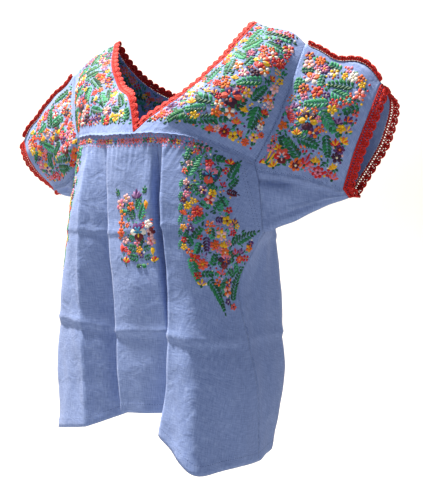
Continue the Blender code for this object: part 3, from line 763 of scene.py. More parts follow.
def coralTwig(colour, second):
    # blunt branches forking off a stem
    found = []
    for angle, reach in ((-95, 13), (-62, 11), (-128, 11), (-30, 9), (-155, 8)):
        found.append(mark(0, 0, angle, reach, 2.0, colour, "leaf", 0.3))
        for fork, tint in ((-38, colour), (38, second)):
            found.append(mark(*aimed(reach * 0.5, angle), angle + fork, 4.6, 2.0, tint, "petal", 0.2))
        found.append(mark(*aimed(reach * 0.8, angle), angle, 3.6, 2.4, colour))
    return found


def leafPair(colour, second):
    return [mark(0, 0, angle, 5.6, 4.4, tint) for angle, tint in ((158, colour), (22, second))]


def clover(tints, size=1.0):
    # four wide petals in two colours, like a butterfly
    found = [mark(*aimed(1.0, angle), angle, reach * size, width * size, tints[tint])
             for angle, reach, width, tint in ((-140, 11, 8.5, 0), (-40, 11, 8.5, 0), (145, 9, 7, 1),
                                               (35, 9, 7, 1), (-90, 8, 6, 2))]
    found += [mark(*aimed(1.4, angle), angle, 5.5 * size, 3.2 * size, tints[3], "petal", 0.7)
              for angle in (-140, -40, 145, 35)]
    return found + [mark(0, -3.5, 90, 7.0, 2.0, tints[2], "leaf", 1.2)]


def doubleFlower(ring, heart, eye):
    # two round flowers joined side by side
    found = []
    for cx, cy in ((-4.2, 3.6), (4.2, -3.6)):
        for k in range(7):
            px, py = aimed(2.2, 360 * k / 7)
            found.append(mark(cx + px, cy + py, 360 * k / 7, 4.4, 4.0, ring))
        found += [mark(cx - 2.3, cy, 0, 4.6, 4.6, heart, "knot", 0.8),
                  mark(cx - 0.4, cy, 90, 2.6, 2.0, eye, "knot", 1.3)]
    return found


def sample(field, a, b):
    # reads a panel's field at fractions across and down, running straight on past its edges
    rows, columns = field.shape[:2]
    x, y = a * (columns - 1), b * (rows - 1)
    i = np.clip(np.floor(x).astype(int), 0, columns - 2)
    j = np.clip(np.floor(y).astype(int), 0, rows - 2)
    fx, fy = x - i, y - j
    if field.ndim == 3:
        fx, fy = fx[..., None], fy[..., None]
    return ((1 - fy) * ((1 - fx) * field[j, i] + fx * field[j, i + 1])
            + fy * ((1 - fx) * field[j + 1, i] + fx * field[j + 1, i + 1]))


def localFrame(panel, a, b):
    # metres to a whole panel across, and how the way down leans and measures beside it
    step = 0.006      # share of the panel that the slopes are read over
    along = (sample(panel["skin"], a + step, b) - sample(panel["skin"], a - step, b)) / (2 * step)
    down = (sample(panel["skin"], a, b + step) - sample(panel["skin"], a, b - step)) / (2 * step)
    size = np.linalg.norm(along, axis=-1)
    first = along / size[..., None]
    lean = (down * first).sum(-1)
    square = np.sqrt(np.maximum((down * down).sum(-1) - lean**2, 1e-9))
    return size, lean, square


def shift(frameAt, dx, dy):
    # metres along the cloth to fractions of the panel
    size, lean, square = frameAt
    db = dy / square
    return (dx - db * lean) / size, db


# A patch's points: stations along it, shares of its half width across, the outline's width at each station
# for each of the four shapes, and how high the padding stands there
tParts, sParts = np.linspace(0, 1, 6), np.array([-1.0, -0.42, 0.42, 1.0])
tGrid, sGrid = [g.ravel() for g in np.meshgrid(tParts, sParts, indexing="ij")]
outlineWidths = np.array([[0.06, 0.62, 0.98, 0.95, 0.60, 0.05], [0.22, 0.62, 0.94, 1.0, 0.86, 0.22],
                          [0.30, 0.88, 1.0, 1.0, 0.88, 0.30], [0.75, 1.0, 1.0, 1.0, 1.0, 0.75]])
paddingHeights = np.array([0.12, 0.8, 1.0, 1.0, 0.85, 0.1])


def stitchMesh(name, panel, marks, inside=False):
    # marks: rows of a, b, aim, length, width (metres), colour, shape, lift
    a, b, aim, length, width = [marks[:, k, None] for k in range(5)]
    count, points = len(marks), len(tGrid)
    x = tGrid[None] * length
    y = sGrid[None] * np.repeat(outlineWidths[marks[:, 6].astype(int)], len(sParts), axis=1) * width / 2
    dx, dy = x * np.cos(aim) - y * np.sin(aim), x * np.sin(aim) + y * np.cos(aim)
    da, db = shift(localFrame(panel, a, b), dx, dy)
    ends = (stitch["margin"], 1 - stitch["margin"])      # none hangs past an edge
    across, down = np.clip(a + da, *ends), np.clip(b + db, *ends)
    base = sample(panel["under"] if inside else panel["skin"], across, down)
    normal = unit(sample(panel["normal"], across, down)) * (-1 if inside else 1)
    rise = stitch["padding"] * width * (stitch["backPadding"] if inside else 1)
    dome = np.repeat(paddingHeights, len(sParts))[None] * (np.abs(sGrid) < 0.9)
    high = np.clip(rise, stitch["lowest"], stitch["highest"]) * dome + marks[:, 7, None] * stitch["layer"]
    vertices = (base + normal * (high - stitch["sunk"])[..., None]).reshape(-1, 3)
    quads = quadsOf(np.arange(points).reshape(len(tParts), len(sParts)).T)
    faces = (quads[None] + points * np.arange(count)[:, None, None]).reshape(-1, 4)
    first = vertices[faces[::len(quads)]]
    turned = np.cross(first[:, 1] - first[:, 0], first[:, 2] - first[:, 0])
    faces = faces if (turned * normal[:, 0]).sum() >= 0 else faces[:, ::-1]
    mesh = newMesh(name, vertices, faces.tolist())
    own = rng.random((count, 2)) * 0.5      # no two patches share a run of strands
    addMap(mesh, "strandMetres", np.stack([y + own[:, :1], x + own[:, 1:]], axis=2).reshape(-1, 2))
    tone = 1 + stitch["tone"] * rng.uniform(-1, 0.6, (count, 1))
    colour = np.ones((count, points, 4))
    colour[..., :3] = (threadLinear[marks[:, 5].astype(int)] * tone)[:, None]
    layer = mesh.color_attributes.new("threadColour", "FLOAT_COLOR", "POINT")
    layer.data.foreach_set("color", colour.ravel().astype(np.float32))
    return mesh


def satinMaterial():
    material, tree = newMaterial("satin_stitched_stranded_cotton")
    dye = addNode(tree, "ShaderNodeAttribute", {"attribute_name": "threadColour"})
    place = addNode(tree, "ShaderNodeUVMap", {"uv_map": "strandMetres"})
    scale = 2 * math.pi / 20 / stitch["strand"]      # one band to a strand
    strands = addNode(tree, "ShaderNodeTexWave",
                      {"wave_type": "BANDS", "bands_direction": "X", "Scale": scale, "Distortion": 0.8,
                       "Detail": 1.0, "Detail Scale": 2.0}, {"Vector": place.outputs[0]})
    shade = addNode(tree, "ShaderNodeMapRange", {"To Min": 0.52, "To Max": 0.90}, {0: strands.outputs["Fac"]})
    tint = addNode(tree, "ShaderNodeVectorMath", {"operation": "SCALE"},
                   {0: dye.outputs["Color"], "Scale": shade.outputs[0]})
    relief = addNode(tree, "ShaderNodeBump", {"Strength": 0.55, "Distance": 0.0005},
                     {"Height": strands.outputs["Fac"]})
    shader = addNode(tree, "ShaderNodeBsdfPrincipled",
                     {"Roughness": stitch["roughness"], "Sheen Weight": stitch["sheen"],
                      "Specular IOR Level": 0.28, "IOR": 1.5},
                     {"Base Color": tint.outputs[0], "Normal": relief.outputs[0]})
    finishMaterial(tree, shader)
    return material


def placerAt(panel, a, b, angle, size):
    # turns a motif's own millimetres into fractions of the panel at this place
    frameAt = localFrame(panel, np.array(a), np.array(b))
    turn = math.radians(angle)

    def placed(x, y):
        dx = (x * math.cos(turn) - y * math.sin(turn)) * size * 0.001
        dy = (x * math.sin(turn) + y * math.cos(turn)) * size * 0.001
        da, db = shift(frameAt, dx, dy)
        return a + float(da), b + float(db)
    return placed


class Ground:
    # one panel's embroidered ground: what is already taken, and the marks laid on it
    def __init__(self, name, borders, scale=1.45):
        self.panel, self.borders, self.scale = panels[name], borders, scale
        self.spots, self.sizes, self.marks = np.zeros((0, 3)), np.zeros(0), []

    def room(self, a, b):
        # metres from the plain borders; less than nothing outside the embroidered ground
        return min(float(sample(self.panel["near"][edge], np.array(a), np.array(b))) - width
                   for edge, width in self.borders.items())

    def spotsOf(self, a, b, discs, angle, size):
        placed = placerAt(self.panel, a, b, angle, size)
        return [(*placed(x, y), r * size * 0.001) for x, y, r in discs]

    def free(self, spots, closeness):
        for a, b, r in spots:
            if not (0 <= a <= 1 and 0 <= b <= 1) or self.room(a, b) < r * 0.75:
                return False
            if len(self.sizes):
                point = sample(self.panel["grid"], np.array(a), np.array(b))
                if (np.linalg.norm(self.spots - point, axis=1) < (self.sizes + r) * closeness).any():
                    return False
        return True

    def lay(self, a, b, angle, size, motif, discs):
        placed = placerAt(self.panel, a, b, angle, size)
        self.marks += [(*placed(x, y), aim + math.radians(angle), length * size * 0.001, width * size * 0.001,
                        colour, shape, lift) for x, y, aim, length, width, colour, shape, lift in motif]
        for sa, sb, r in self.spotsOf(a, b, discs, angle, size):
            point = sample(self.panel["grid"], np.array(sa), np.array(sb))
            self.spots, self.sizes = np.concatenate([self.spots, point[None]]), np.append(self.sizes, r)

    def fill(self, tries, closeness, makers):
        for a, b, angle, pick in zip(rng.random(tries), rng.random(tries), rng.random(tries) * 360,
                                     rng.random(tries)):
            maker, discs, upright = makers[int(pick * len(makers))]
            angle = rng.uniform(-25, 25) if upright else angle
            size = rng.uniform(0.92, 1.15) * self.scale
            if self.free(self.spotsOf(a, b, discs, angle, size), closeness):
                self.lay(a, b, angle, size, maker(), discs)


def one(*choices):
    return choices[int(rng.random() * len(choices))]


def disc(radius):
    return ((0, 0, radius),)


# The room a motif needs, as discs in its own millimetres: place along, place across, radius
fernDiscs = ((5, 0, 5.0), (13, 0, 6.2), (21, 0.5, 5.6), (28, 2, 4.0))
smallFernDiscs = ((4, 0, 3.6), (10, 0, 4.2), (16, 0.5, 3.2))
sprigDiscs = ((3, 0, 3.6), (9, 0, 4.4))
bright = ("yellow", "orange", "coral", "red", "palePink", "white", "pink", "yellow", "red", "purple",
          "yellow", "plum", "purple")
hearts = ("gold", "maroon", "yellow", "orange", "cream")
greens = (darkGreens, freshGreens, seaGreens, ("green", "deepGreen"))
# Small motifs that fill the ground: what makes one, its room, and whether it stays upright
fernMakers = [(lambda: fern(30, rng.uniform(-26, 26), 7.2, one(*greens)), fernDiscs, False)]
smallFernMakers = [(lambda: fern(17, rng.uniform(-24, 24), 5.6, one(*greens), 3.3), smallFernDiscs, False)]
flowerMakers = [
    (lambda: bloom(one(*bright), one(*hearts), 5, 4.8, 4.2, rng.uniform(0, 72)), disc(6.0), False),
    (lambda: bloom(one(*bright), one(*hearts), 6, 4.6, 3.6, rng.uniform(0, 60),
                   one("palePink", "orange", "white")), disc(6.0), False),
    (lambda: rosette(one("red", "coral", "orange", "purple"), one("coral", "orange", "maroon", "pink"),
                     one(*hearts), 0.72), disc(6.2), False),
    (lambda: tulip(one("yellow", "coral", "red", "purple"), one("gold", "orange", "lilac"), 0.8),
     ((0, -4, 5.0),), True)]
sprigMakers = [
    (lambda: sprig(one("orange", "red", "yellow", "purple", "gold", "coral"), 5, 10, 4.2,
                   one("orange", "lilac", "red")), ((3, 0, 3.6), (8, 0, 4.4)), False),
    (lambda: sprig(one("coral", "orange", "lilac"), 6, 12, 3.8), sprigDiscs, False)]
tinyMakers = [
    (lambda: bloom(one(*bright), one(*hearts), 5, 3.1, 3.0, rng.uniform(0, 72)), disc(4.0), False),
    (lambda: bloom(one("coral", "orange", "red", "pink"), one(*hearts), 4, 3.2, 3.2), disc(4.0), False),
    (lambda: [mark(-2.5, 0, 0, 5.6, 3.2, one("deepGreen", "green", "mint"), "leaf"),
              mark(-2.0, 1.6, 25, 5.0, 2.4, "green", "leaf")], disc(3.4), False)]
gapMakers = [
    (lambda: [mark(-2.2, 0, 0, 4.4, 2.3, one("deepGreen", "green", "mint"), "leaf")], disc(2.2), False),
    (lambda: [mark(-1.3, 0, 0, 2.6, 2.5, one(*bright), "knot")], disc(2.0), False)]


def fillGround(ground, tries, steps):
    # steps: the motifs to try, their share of the tries, and how close they may stand to what is there
    for makers, share, closeness in steps:
        ground.fill(int(tries * share), closeness, makers)


# The largest flowers of each ground, listed one by one: across, down, turn, size, motif, room in millimetres
def laidYoke():
    return [(0.59, 0.63, -6, 1.2, pansy("purple", "coral", "plum", "coral", "sky"), disc(12.5)),
            (0.59, 0.31, 4, 0.95, pansy("coral", "yellow", "red", "cream", "sky"), disc(12)),
            (0.48, 0.50, 0, 1.05, tulip("yellow", "gold"), ((0, -4, 5.5),)),
            (0.33, 0.55, -10, 0.9, rosette("coral", "red", "orange", 0.9), disc(7.5)),
            (0.84, 0.90, 0, 0.9, rosette("orange", "coral", "orange", 0.9), disc(7)),
            (0.93, 0.80, 0, 0.8, rosette("coral", "orange", "maroon", 0.8), disc(6)),
            (0.76, 0.60, 78, 1.47, fern(30, 16, 8.2, darkGreens), fernDiscs),
            (0.50, 0.74, 165, 1.28, fern(32, 18, 7.8, seaGreens), fernDiscs),
            (0.42, 0.15, 6, 1.15, fern(32, -10, 8.6, freshGreens), fernDiscs),
            (0.14, 0.76, 0, 0.9, clover(("pink", "lilac", "yellow", "orange"), 0.75), disc(8)),
            (0.73, 0.33, 0, 1.0, sprig("yellow", 6, 12, 4.4, "gold"), sprigDiscs)]


def laidSleeve():
    return [(0.37, 0.50, 0, 1.1, pansy("plum", "yellow", "plum", "maroon", "sky", 1.0, "gold"), disc(12)),
            (0.68, 0.30, 0, 1.25, doubleFlower("coral", "sky", "cream"), disc(11)),
            (0.22, 0.21, 0, 1.1, clover(("orange", "white", "pink", "palePink")), disc(11)),
            (0.12, 0.50, 60, 1.15, coralTwig("red", "coral"), ((0, 0, 5), (6, -5, 6.5), (-3, -7, 5))),
            (0.68, 0.90, 0, 1.2, rosette("red", "pink", "maroon", 1.0), disc(9.5)),
            (0.26, 0.77, 0, 0.95, pansy("coral", "red", "maroon", "palePink", "sky"), disc(11)),
            (0.30, 0.63, 15, 1.34, fern(30, 20, 8.4, darkGreens), fernDiscs),
            (0.46, 0.25, 8, 1.41, fern(30, -18, 8.0, freshGreens), fernDiscs),
            (0.60, 0.56, 70, 1.34, fern(28, 18, 7.6, darkGreens), fernDiscs),
            (0.10, 0.33, 120, 1.0, sprig("gold", 6, 13, 4.4, "orange"), sprigDiscs),
            (0.05, 0.60, 85, 1.0, sprig("coral", 7, 15, 4.6, "coral"), ((3, 0, 3.6), (9, 0, 4.6))),
            (0.76, 0.50, 0, 1.1, bloom("yellow", "gold", 5, 5.2, 4.8), disc(6.2)),
            (0.80, 0.12, 0, 1.0, bloom("yellow", "gold", 5, 4.8, 4.4), disc(6.2)),
            (0.57, 0.12, 0, 1.0, bloom("yellow", "orange", 5, 4.8, 4.4), disc(6.2))]


def laidSideSpray():
    # the tall spray beside the left tuck; a straight vine on its inner side, its point low on the outer side
    found = [(0.846, 0.112, 0, 1.0, pansy("pink", "navy", "coral", "sky", "plum"), disc(11)),
             (0.884, 0.155, 10, 1.0, fern(22, 10, 7.4, ("plum", "maroon"), 3.6, "bark"),
              ((4, 0, 5), (12, 0, 6), (19, 0, 5))),
             (0.856, 0.172, 0, 1.05, bloom("yellow", "gold", 5, 5.2, 4.6), disc(6.0)),
             (0.822, 0.250, 0, 1.15, rosette("coral", "red", "orange", 1.0), disc(8.5)),
             (0.793, 0.238, 0, 1.05, bloom("yellow", "gold", 6, 5.0, 4.2), disc(6.0)),
             (0.862, 0.262, 0, 1.0, fern(16, -10, 7.0, ("plum", "purple"), 3.6, "bark"),
              ((3, 0, 5), (10, 0, 6))),
             (0.846, 0.318, 80, 1.1, fern(26, 8, 7.4, ("purple", "plum"), 3.8, "bark"),
              ((4, 0, 6), (13, 0, 6), (22, 0, 5))),
             (0.892, 0.352, 0, 1.1, tulip("yellow", "gold", 1.1), ((0, -4, 6.5),)),
             (0.982, 0.335, 0, 1.0, bloom("orange", "yellow", 5, 5.0, 4.6, 0, "gold"), disc(6.4)),
             (0.966, 0.375, 0, 1.0, rosette("red", "orange", "pink", 0.85), disc(7)),
             (0.812, 0.405, 0, 1.0, clover(("red", "coral", "orange", "maroon"), 0.8), disc(8)),
             (0.820, 0.455, 0, 1.0, rosette("red", "red", "maroon", 0.8), disc(7)),
             (0.905, 0.392, 0, 0.9, pansy("pink", "plum", "maroon", "navy", "orange"), disc(9)),
             (0.930, 0.335, -40, 1.34, fern(30, 12, 7.8, darkGreens), fernDiscs),
             (0.870, 0.062, 100, 1.15, fern(26, -14, 7.4, darkGreens), fernDiscs),
             (0.895, 0.120, -62, 1.28, fern(28, 18, 7.6, darkGreens), fernDiscs),
             (0.786, 0.150, -80, 1.28, fern(34, 10, 8.4, freshGreens), fernDiscs),
             (0.800, 0.392, 60, 1.28, fern(34, -8, 7.6, freshGreens), fernDiscs),
             (0.846, 0.458, 47, 1.28, fern(46, 12, 7.2, darkGreens),
              ((5, 0, 5), (13, 0, 6), (21, 0, 6), (29, 0, 6), (37, -2, 5))),
             (0.957, 0.520, -100, 1.22, fern(46, -10, 7.0, darkGreens),
              ((5, 0, 4), (13, 0, 5), (21, 0, 6), (29, 0, 6), (37, 0, 5)))]
    for k in range(6):   # the vine of paired leaves, with a bloom between
        found.append((0.772, 0.150 + 0.040 * k, 90, 0.9, fern(15, 4, 5.6, freshGreens, 3.6),
                      ((3, 0, 3.5), (9, 0, 4), (14, 0, 3))))
    for b, tint in ((0.125, "coral"), (0.222, "maroon"), (0.312, "gold"), (0.352, "red"), (0.375, "yellow")):
        found.append((0.778, b, 0, 1.0, bloom(tint, "gold", 5, 4.2, 3.8), disc(5)))
    return found


def laidCentreSpray():
    # the small spray on the middle panel: a stem, a pansy half way, paired ferns and flowers either side
    return [(0.532, 0.480, -90, 1.0, stemLine([(0, 0), (14, 0.5), (30, 0)], "deepGreen", 1.2), disc(2)),
            (0.532, 0.318, -90, 1.0, stemLine([(0, 0), (12, -0.4), (34, 0)], "bark", 1.1), disc(2)),
            (0.528, 0.318, -128, 1.25, fern(26, 16, 7.4, darkGreens), fernDiscs),
            (0.536, 0.325, -64, 1.2, fern(26, -14, 7.4, freshGreens), fernDiscs),
            (0.530, 0.428, -168, 1.2, fern(20, 26, 7.4, darkGreens), smallFernDiscs),
            (0.536, 0.428, -14, 1.0, fern(17, -26, 7.4, darkGreens), smallFernDiscs),
            (0.530, 0.462, -170, 1.15, fern(20, 22, 7.2, ("green", "deepGreen")), smallFernDiscs),
            (0.536, 0.462, -12, 0.95, fern(17, -22, 7.2, ("green", "deepGreen")), smallFernDiscs),
            (0.520, 0.396, -150, 1.1, fern(14, 16, 6.6, seaGreens, 3.3), smallFernDiscs),
            (0.530, 0.486, 0, 1.7, leafPair(*darkGreens), disc(6)),
            (0.532, 0.240, 0, 1.75, tulip("purple", "lilac", 1.0), ((0, -4, 6),)),
            (0.532, 0.362, 0, 1.12, pansy("purple", "white", "maroon", "yellow", "sky", 1.0, "sky"),
             disc(11)),
            (0.458, 0.232, -120, 1.2, fern(11, 6, 5.6, darkGreens, 3.2), disc(4)),
            (0.560, 0.232, -85, 1.2, fern(12, 6, 5.6, ("green", "deepGreen"), 3.2), disc(4)),
            (0.462, 0.258, 0, 1.55, bloom("pink", "gold", 5, 5.0, 4.4, 10, "palePink"), disc(6)),
            (0.492, 0.236, 0, 1.35, bloom("palePink", "yellow", 5, 4.4, 4.0), disc(5)),
            (0.512, 0.266, 0, 1.4, bloom("orange", "pink", 5, 4.6, 4.0, 20, "coral"), disc(5.5)),
            (0.566, 0.270, -90, 1.5, [mark(-3, 0, 0, 9, 5.6, "gold"),
                                      mark(-2, 0, 0, 5.0, 3.2, "orange", "petal", 0.6)], disc(4.5)),
            (0.452, 0.292, 0, 1.5, sprig("gold", 4, 6, 5.0, "orange"), disc(5)),
            (0.464, 0.326, 0, 1.3, bloom("orange", "coral", 4, 4.6, 4.0), disc(5)),
            (0.462, 0.362, 0, 1.3, bloom("coral", "orange", 6, 4.8, 3.8, 0, "orange"), disc(5)),
            (0.480, 0.392, 0, 1.3, bloom("palePink", "pink", 5, 4.4, 4.0), disc(5)),
            (0.572, 0.312, 90, 1.2, sprig("coral", 4, 8, 4.4), disc(4.5)),
            (0.568, 0.336, 0, 1.35, bloom("white", "palePink", 5, 4.4, 4.2), disc(5)),
            (0.570, 0.366, 0, 1.35, bloom("maroon", "palePink", 5, 4.8, 4.4, 0, "palePink"), disc(5.5)),
            (0.568, 0.398, 0, 1.4, bloom("palePink", "coral", 5, 4.8, 4.4, 0, "pink"), disc(5.5)),
            (0.528, 0.430, 0, 1.3, bloom("gold", "yellow", 5, 3.8, 3.6), disc(4.5)),
            (0.524, 0.404, 0, 1.3, bloom("pink", "orange", 4, 3.8, 3.4), disc(4)),
            (0.460, 0.422, 0, 1.35, [mark(0, 5, -90, 9.5, 6.4, "coral"),
                                     mark(0, 4, -60, 6.5, 3.8, "red", "petal", 0.5)], disc(4.5)),
            (0.569, 0.434, 0, 1.35, [mark(0, 5, -90, 9.0, 5.8, "yellow")], disc(4)),
            (0.476, 0.478, 10, 1.25, tulip("red", "yellow", 1.0), ((0, -4, 6),)),
            (0.570, 0.476, -8, 1.15, tulip("yellow", "red", 1.0), ((0, -4, 6),))]


satinFinish = satinMaterial()


def addStitches(name, panelName, marks, inside=False):
    mesh = stitchMesh(name, panels[panelName], np.array(marks), inside)
    return addPiece(name, mesh, satinFinish)


# Plain cloth left at each edge of the embroidered panels, metres
yokeBorders = {"foot": 0.0120, "right": 0.0120, "left": 0.0015, "top": 0.0}
backBorders = {"foot": 0.0120, "top": 0.0020, "hole": 0.0120}
sleeveBorders = {"left": 0.0055, "right": 0.0105, "foot": 0.0080, "top": 0.0080}
grounds = {"yoke_front_left": (yokeBorders, laidYoke), "yoke_front_right": (yokeBorders, laidYoke)}
for panelName in ("sleeve_left_front", "sleeve_right_front", "sleeve_left_back", "sleeve_right_back"):
    grounds[panelName] = (sleeveBorders, laidSleeve)
grounds["yoke_back"] = (backBorders, list)      # nothing is listed one by one for the back
groundSteps = ((fernMakers, 0.35, 0.68), (flowerMakers, 0.5, 0.72), (fernMakers, 1.2, 0.66),
               (flowerMakers, 1.2, 0.72), (smallFernMakers, 2.0, 0.62), (sprigMakers, 1.0, 0.68),
               (tinyMakers, 3.0, 0.66), (gapMakers, 6.0, 0.64))
stitchCount = 0
for panelName, (borders, laid) in grounds.items():
    ground = Ground(panelName, borders)
    for item in laid():
        ground.lay(*item)
    ground.sizes = ground.sizes * 1.2      # the listed flowers keep clear ground about them
    fillGround(ground, 1700 if panelName == "yoke_back" else 900, groundSteps)
    addStitches("stitches_" + panelName, panelName, ground.marks)
    if panelName == "yoke_back":      # the wrong side shows through the neck opening
        shown = [m for m in ground.marks if m[1] < 0.75]
        addStitches("stitch_backs_yoke_back", panelName, shown, inside=True)
    stitchCount += len(ground.marks)
print("yokes and sleeves embroidered with", stitchCount, "satin patches")


def within(corners, a, b):
    # whether a point lies in the outline of an embroidered shape
    inside = False
    for (a0, b0), (a1, b1) in zip(corners, corners[1:] + corners[:1]):
        if (b0 > b) != (b1 > b) and a < (a1 - a0) * (b - b0) / (b1 - b0) + a0:
            inside = not inside
    return inside


class ShapedGround(Ground):
    # an embroidered shape on the body, kept inside an outline given across and down
    def __init__(self, name, corners, scale):
        super().__init__(name, {}, scale)
        self.corners = corners

    def room(self, a, b):
        return 1.0 if within(self.corners, a, b) else -1.0


sideOutline = [(0.766, 0.030), (0.800, 0.018), (0.935, 0.045), (0.925, 0.120), (0.905, 0.200), (0.925, 0.275),
               (0.990, 0.310), (0.998, 0.345), (0.985, 0.420), (0.965, 0.505), (0.955, 0.540), (0.905, 0.505),
               (0.850, 0.490), (0.805, 0.455), (0.790, 0.400), (0.768, 0.360)]
centreOutline = [(0.450, 0.245), (0.480, 0.228), (0.545, 0.228), (0.577, 0.245), (0.578, 0.492),
                 (0.455, 0.492)]
sideSteps = ((smallFernMakers, 1500, 0.64), (flowerMakers, 2000, 0.70), (smallFernMakers, 3000, 0.62),
             (sprigMakers, 1500, 0.70), (tinyMakers, 5000, 0.62), (gapMakers, 9000, 0.60))
centreSteps = ((smallFernMakers, 900, 0.55), (tinyMakers, 1500, 0.62), (gapMakers, 3000, 0.60))
sprays = {"body_spray_left": (laidSideSpray, sideOutline, 1.3, sideSteps),
          "body_spray_centre": (laidCentreSpray, centreOutline, 1.15, centreSteps)}
sprayMarks = {}
for label, (laid, corners, scale, steps) in sprays.items():
    ground = ShapedGround("body_front", corners, scale)
    for item in laid():
        ground.lay(*item)
    fillGround(ground, 1, steps)
    sprayMarks[label] = ground.marks
    addStitches("stitches_" + label, "body_front", ground.marks)
    print(label, len(ground.marks), "satin patches")
# The wearer's right has the same spray turned over, and it stops short of the side seam
turnedAt, seamRoom = 0.9385, 0.016
addStitches("stitches_body_spray_right", "body_front",
            [(turnedAt - a, b, math.pi - aim, *rest) for a, b, aim, *rest in sprayMarks["body_spray_left"]
             if a < turnedAt - seamRoom])


def offsetLine(panel, edge, distance):
    # the fractions across and down of a line that keeps its distance from an edge
    field = panel["near"][edge] if edge in ("left", "right") else panel["near"][edge].T
    order = slice(None) if edge in ("top", "left") else slice(None, None, -1)
    shares = np.linspace(0, 1, field.shape[1])[order]
    found = np.array([np.interp(distance, np.maximum.accumulate(line[order]), shares) for line in field])
    along = np.linspace(0, 1, len(field))
    return (found, along) if edge in ("left", "right") else (along, found)


# Topstitching dashes: real stitches, but their dark seam blue is partly painted shade, standing in for the
# shadow line at each lapped seam
seamwork = {"dash": 0.0028, "gap": 0.0012, "width": 0.0011, "lift": -0.1, "start": 0.001}


def dashes(panel, a, b):
    # a line of machine stitches along fractions a, b, in the dark seam blue that also paints the seam's
    # shadow line
    run = metresAlong(sample(panel["skin"], a, b))
    dash = seamwork["dash"]
    start = np.arange(seamwork["start"], run[-1] - dash, dash + seamwork["gap"])
    a0, b0 = np.interp(start, run, a), np.interp(start, run, b)
    a1, b1 = np.interp(start + dash, run, a), np.interp(start + dash, run, b)
    size, lean, square = localFrame(panel, a0, b0)
    dx, dy = (a1 - a0) * size + (b1 - b0) * lean, (b1 - b0) * square
    return [(p, q, math.atan2(y, x), math.hypot(x, y), seamwork["width"], threadNames.index("seamShadowBlue"),
             shapeNames.index("stem"), seamwork["lift"]) for p, q, x, y in zip(a0, b0, dx, dy)]


# Machine-sewn lines, whose dark thread is also a painted shadow line along each seam: the edge each follows
# and how far in it runs, metres
seamLines = {"body_front": [("foot", 0.0135)], "body_back": [("foot", 0.0135)],
             "yoke_back": [("foot", 0.0030), ("foot", 0.0085)]}
for side in ("left", "right"):
    seamLines["yoke_front_" + side] = [("foot", 0.0030), ("right", 0.0030)]
    for face in ("front", "back"):
        seamLines["sleeve_%s_%s" % (side, face)] = [("foot", 0.0030), ("left", 0.0025)]
for panelName, lines in seamLines.items():
    panel = panels[panelName]
    marks = sum((dashes(panel, *offsetLine(panel, *line)) for line in lines), [])
    if panelName == "body_front":      # two rows beside each armhole
        turn = np.linspace(0, 1, 60)
        for reach in (0.016, 0.021):
            a = 0.985 - reach * 2.2 + 0.030 * np.sin(turn * 1.6) ** 2 + 0.012 * turn
            for way in (a, 1 - a):
                marks += dashes(panel, way, 0.045 + 0.26 * turn)
    addStitches("seam_stitches_and_shadow_" + panelName, panelName, marks)


# Smocking: rows of slanted pink and mauve stitches over the gathers, with little flowers between
smock = {"from": 0.105, "to": 0.835, "rows": (0.0042, 0.0185), "slant": 52, "pitch": 0.0034,
         "length": 0.0052, "width": 0.0021, "tints": ("pink", "coral", "pink", "lilac", "maroon"),
         "figures": 52, "figuresAt": 0.0125,
         "figureTints": ("pink", "coral", "lilac", "pink", "red", "orange", "pink", "sky", "coral", "yellow",
                         "pink", "green")}


def smockingMarks(panel):
    marks = []
    for k, depth in enumerate(smock["rows"]):
        lineA, lineB = offsetLine(panel, "top", depth)
        run = metresAlong(sample(panel["skin"], lineA, lineB))
        begin, end = np.interp(smock["from"], lineA, run), np.interp(smock["to"], lineA, run)
        for i, at in enumerate(np.arange(begin, end, smock["pitch"])):
            tint = smock["tints"][(i // 5 + k * 2) % 5]
            aim = math.radians(smock["slant"] * (1 if i % 2 else -1) + rng.uniform(-8, 8))
            marks.append((np.interp(at, run, lineA), np.interp(at, run, lineB), aim, smock["length"],
                          smock["width"], threadNames.index(tint), shapeNames.index("leaf"), 0.0))
    figures = Ground("body_front", {})
    lineA, lineB = offsetLine(panel, "top", smock["figuresAt"])
    tints = smock["figureTints"]
    for k, a in enumerate(np.linspace(smock["from"], smock["to"], smock["figures"])):
        flower = bloom(tints[(k * 5) % len(tints)], "maroon", 4, 3.8, 3.4, 45 * (k % 2))
        figures.lay(a, np.interp(a, lineA, lineB), 0, 1.0, flower, disc(3))
    return marks + figures.marks


smocking = addStitches("smocking_stitches", "body_front", smockingMarks(panels["body_front"]))
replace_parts(smocking, "smocking_band")
print("smocking and seams stitched")


# Mercerised crochet cotton, hooked: round plied cords with a low gleam, open between the stitches.
# Pitch of the scallops, then the radius of each cord and where it lies from the cloth's edge, metres
lace = {"dye": "#d3211a", "deep": "#8e100e", "pitch": 0.0130, "ply": 0.0016, "roughness": 0.62,
        "step": 0.0017, "sway": 0.00035, "knots": 0.28, "foundation": 0.00125, "foundationAt": 0.0014,
        "header": 0.00115, "lattice": 0.00085, "latticeFoot": 0.0018, "arc": 0.00135, "arcKnots": 0.30,
        "posts": 6, "postFoot": 0.0010, "postTop": 0.0030, "arcInset": 0.0014, "spokeInset": 0.0016,
        "spokesOver": 0.72, "spokeSpread": (0.22, 0.36, 0.50), "spokeLift": 0.0004}
# Reach of each edging's scallops from the cloth at their notches and tips, its header row, the crossed posts
# below it and the spokes in a scallop; metres
wideEdging = {"notch": 0.0104, "tip": 0.0172, "header": 0.0075, "lattice": 3, "spokes": 5, "post": 0.00115}
narrowEdging = {"notch": 0.0045, "tip": 0.0078, "header": 0.0016, "lattice": 0, "spokes": 5, "post": 0.00115}
edgings = {"neck_edging": {"notch": 0.0050, "tip": 0.0142, "header": 0.0036, "lattice": 0, "spokes": 9,
                           "post": 0.0016}}
for side in ("left", "right"):
    edgings["cuff_edging_" + side] = wideEdging
    edgings["sleeve_seam_edging_" + side] = narrowEdging


